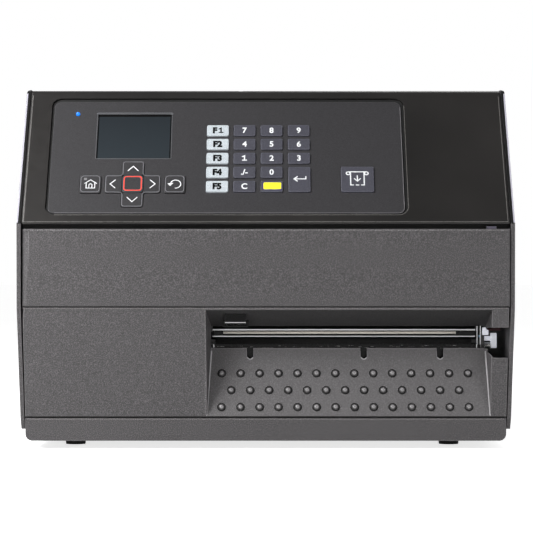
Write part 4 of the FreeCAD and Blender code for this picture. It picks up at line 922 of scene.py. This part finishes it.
# ---------------------------------------------------------- camera and light
cam_d = bpy.data.cameras.new("cam")
cam_d.lens = 151.95
cam_d.sensor_width = 36.0
cam_d.dof.use_dof = False
cam_d.clip_start = 0.05
cam = bpy.data.objects.new("cam", cam_d)
SC.collection.objects.link(cam)
cam.location = (0.0005, -1.827, 0.1305)
cam.rotation_euler = (math.radians(90.0), 0, 0)
SC.camera = cam

fm = Mat("studio_floor")
fm.link(fm.ramp(fm.noise(1.2, 2.0), (0.90, 0.90, 0.90, 1), (0.93, 0.93, 0.93, 1)), fm.b.inputs["Base Color"])
fl = fm.node("ShaderNodeLightPath")
floor_m = fm.done(Roughness=0.6, Specular_IOR_Level=0.2, Emission_Color=(1, 1, 1, 1),
                  Emission_Strength=fm.remap(fl.outputs["Is Camera Ray"], 0.22, 0.76, 0.0, 1.0))
floor = new_mesh("floor", [(-14, -9, 0), (14, -9, 0), (14, 14, 0), (-14, 14, 0)], [(0, 1, 2, 3)], floor_m)

world = bpy.data.worlds.new("world")
SC.world = world
world.use_nodes = True
wt = world.node_tree
bg = wt.nodes["Background"]
bg.inputs["Color"].default_value = (1.0, 1.0, 1.0, 1)
bg.inputs["Strength"].default_value = 1.0
# what the camera sees directly is plain white; the room that lights the object is dimmer towards the right
room = wt.nodes.new("ShaderNodeBackground")
wc = wt.nodes.new("ShaderNodeTexCoord")
wx = wt.nodes.new("ShaderNodeSeparateXYZ")
wt.links.new(wc.outputs["Generated"], wx.inputs[0])
wr = wt.nodes.new("ShaderNodeMapRange")
wr.inputs["From Min"].default_value = -1.0
wr.inputs["From Max"].default_value = 1.0
wr.inputs["To Min"].default_value = 0.36
wr.inputs["To Max"].default_value = 0.24
wt.links.new(wx.outputs["X"], wr.inputs["Value"])
wt.links.new(wr.outputs["Result"], room.inputs["Strength"])
lp = wt.nodes.new("ShaderNodeLightPath")
wm = wt.nodes.new("ShaderNodeMixShader")
wt.links.new(lp.outputs["Is Camera Ray"], wm.inputs[0])
wt.links.new(room.outputs[0], wm.inputs[1])
wt.links.new(bg.outputs[0], wm.inputs[2])
wt.links.new(wm.outputs[0], wt.nodes["World Output"].inputs["Surface"])


def area(name, loc, target, size, power, size_y=None):
    l = bpy.data.lights.new(name, "AREA")
    l.energy = power
    l.shape = "RECTANGLE"
    l.size = size
    l.size_y = size_y or size
    o = bpy.data.objects.new(name, l)
    SC.collection.objects.link(o)
    o.location = loc
    d = Vector(target) - Vector(loc)
    o.rotation_euler = d.to_track_quat("-Z", "Y").to_euler()
    return o


area("key", (-0.78, -0.62, 0.92), (0, -0.2, 0.12), 0.5, 15.5)
area("near_left", (-0.44, -0.54, 0.28), (-0.14, -0.2, 0.12), 0.26, 1.15)
area("near_right", (0.52, -0.60, 0.30), (0.15, -0.2, 0.14), 0.26, 0.8)
area("rear_fill", (0.5, 1.3, 1.6), (0, 0, 0.15), 1.0, 9.0)

SC.view_settings.view_transform = "Standard"
SC.view_settings.look = "None"
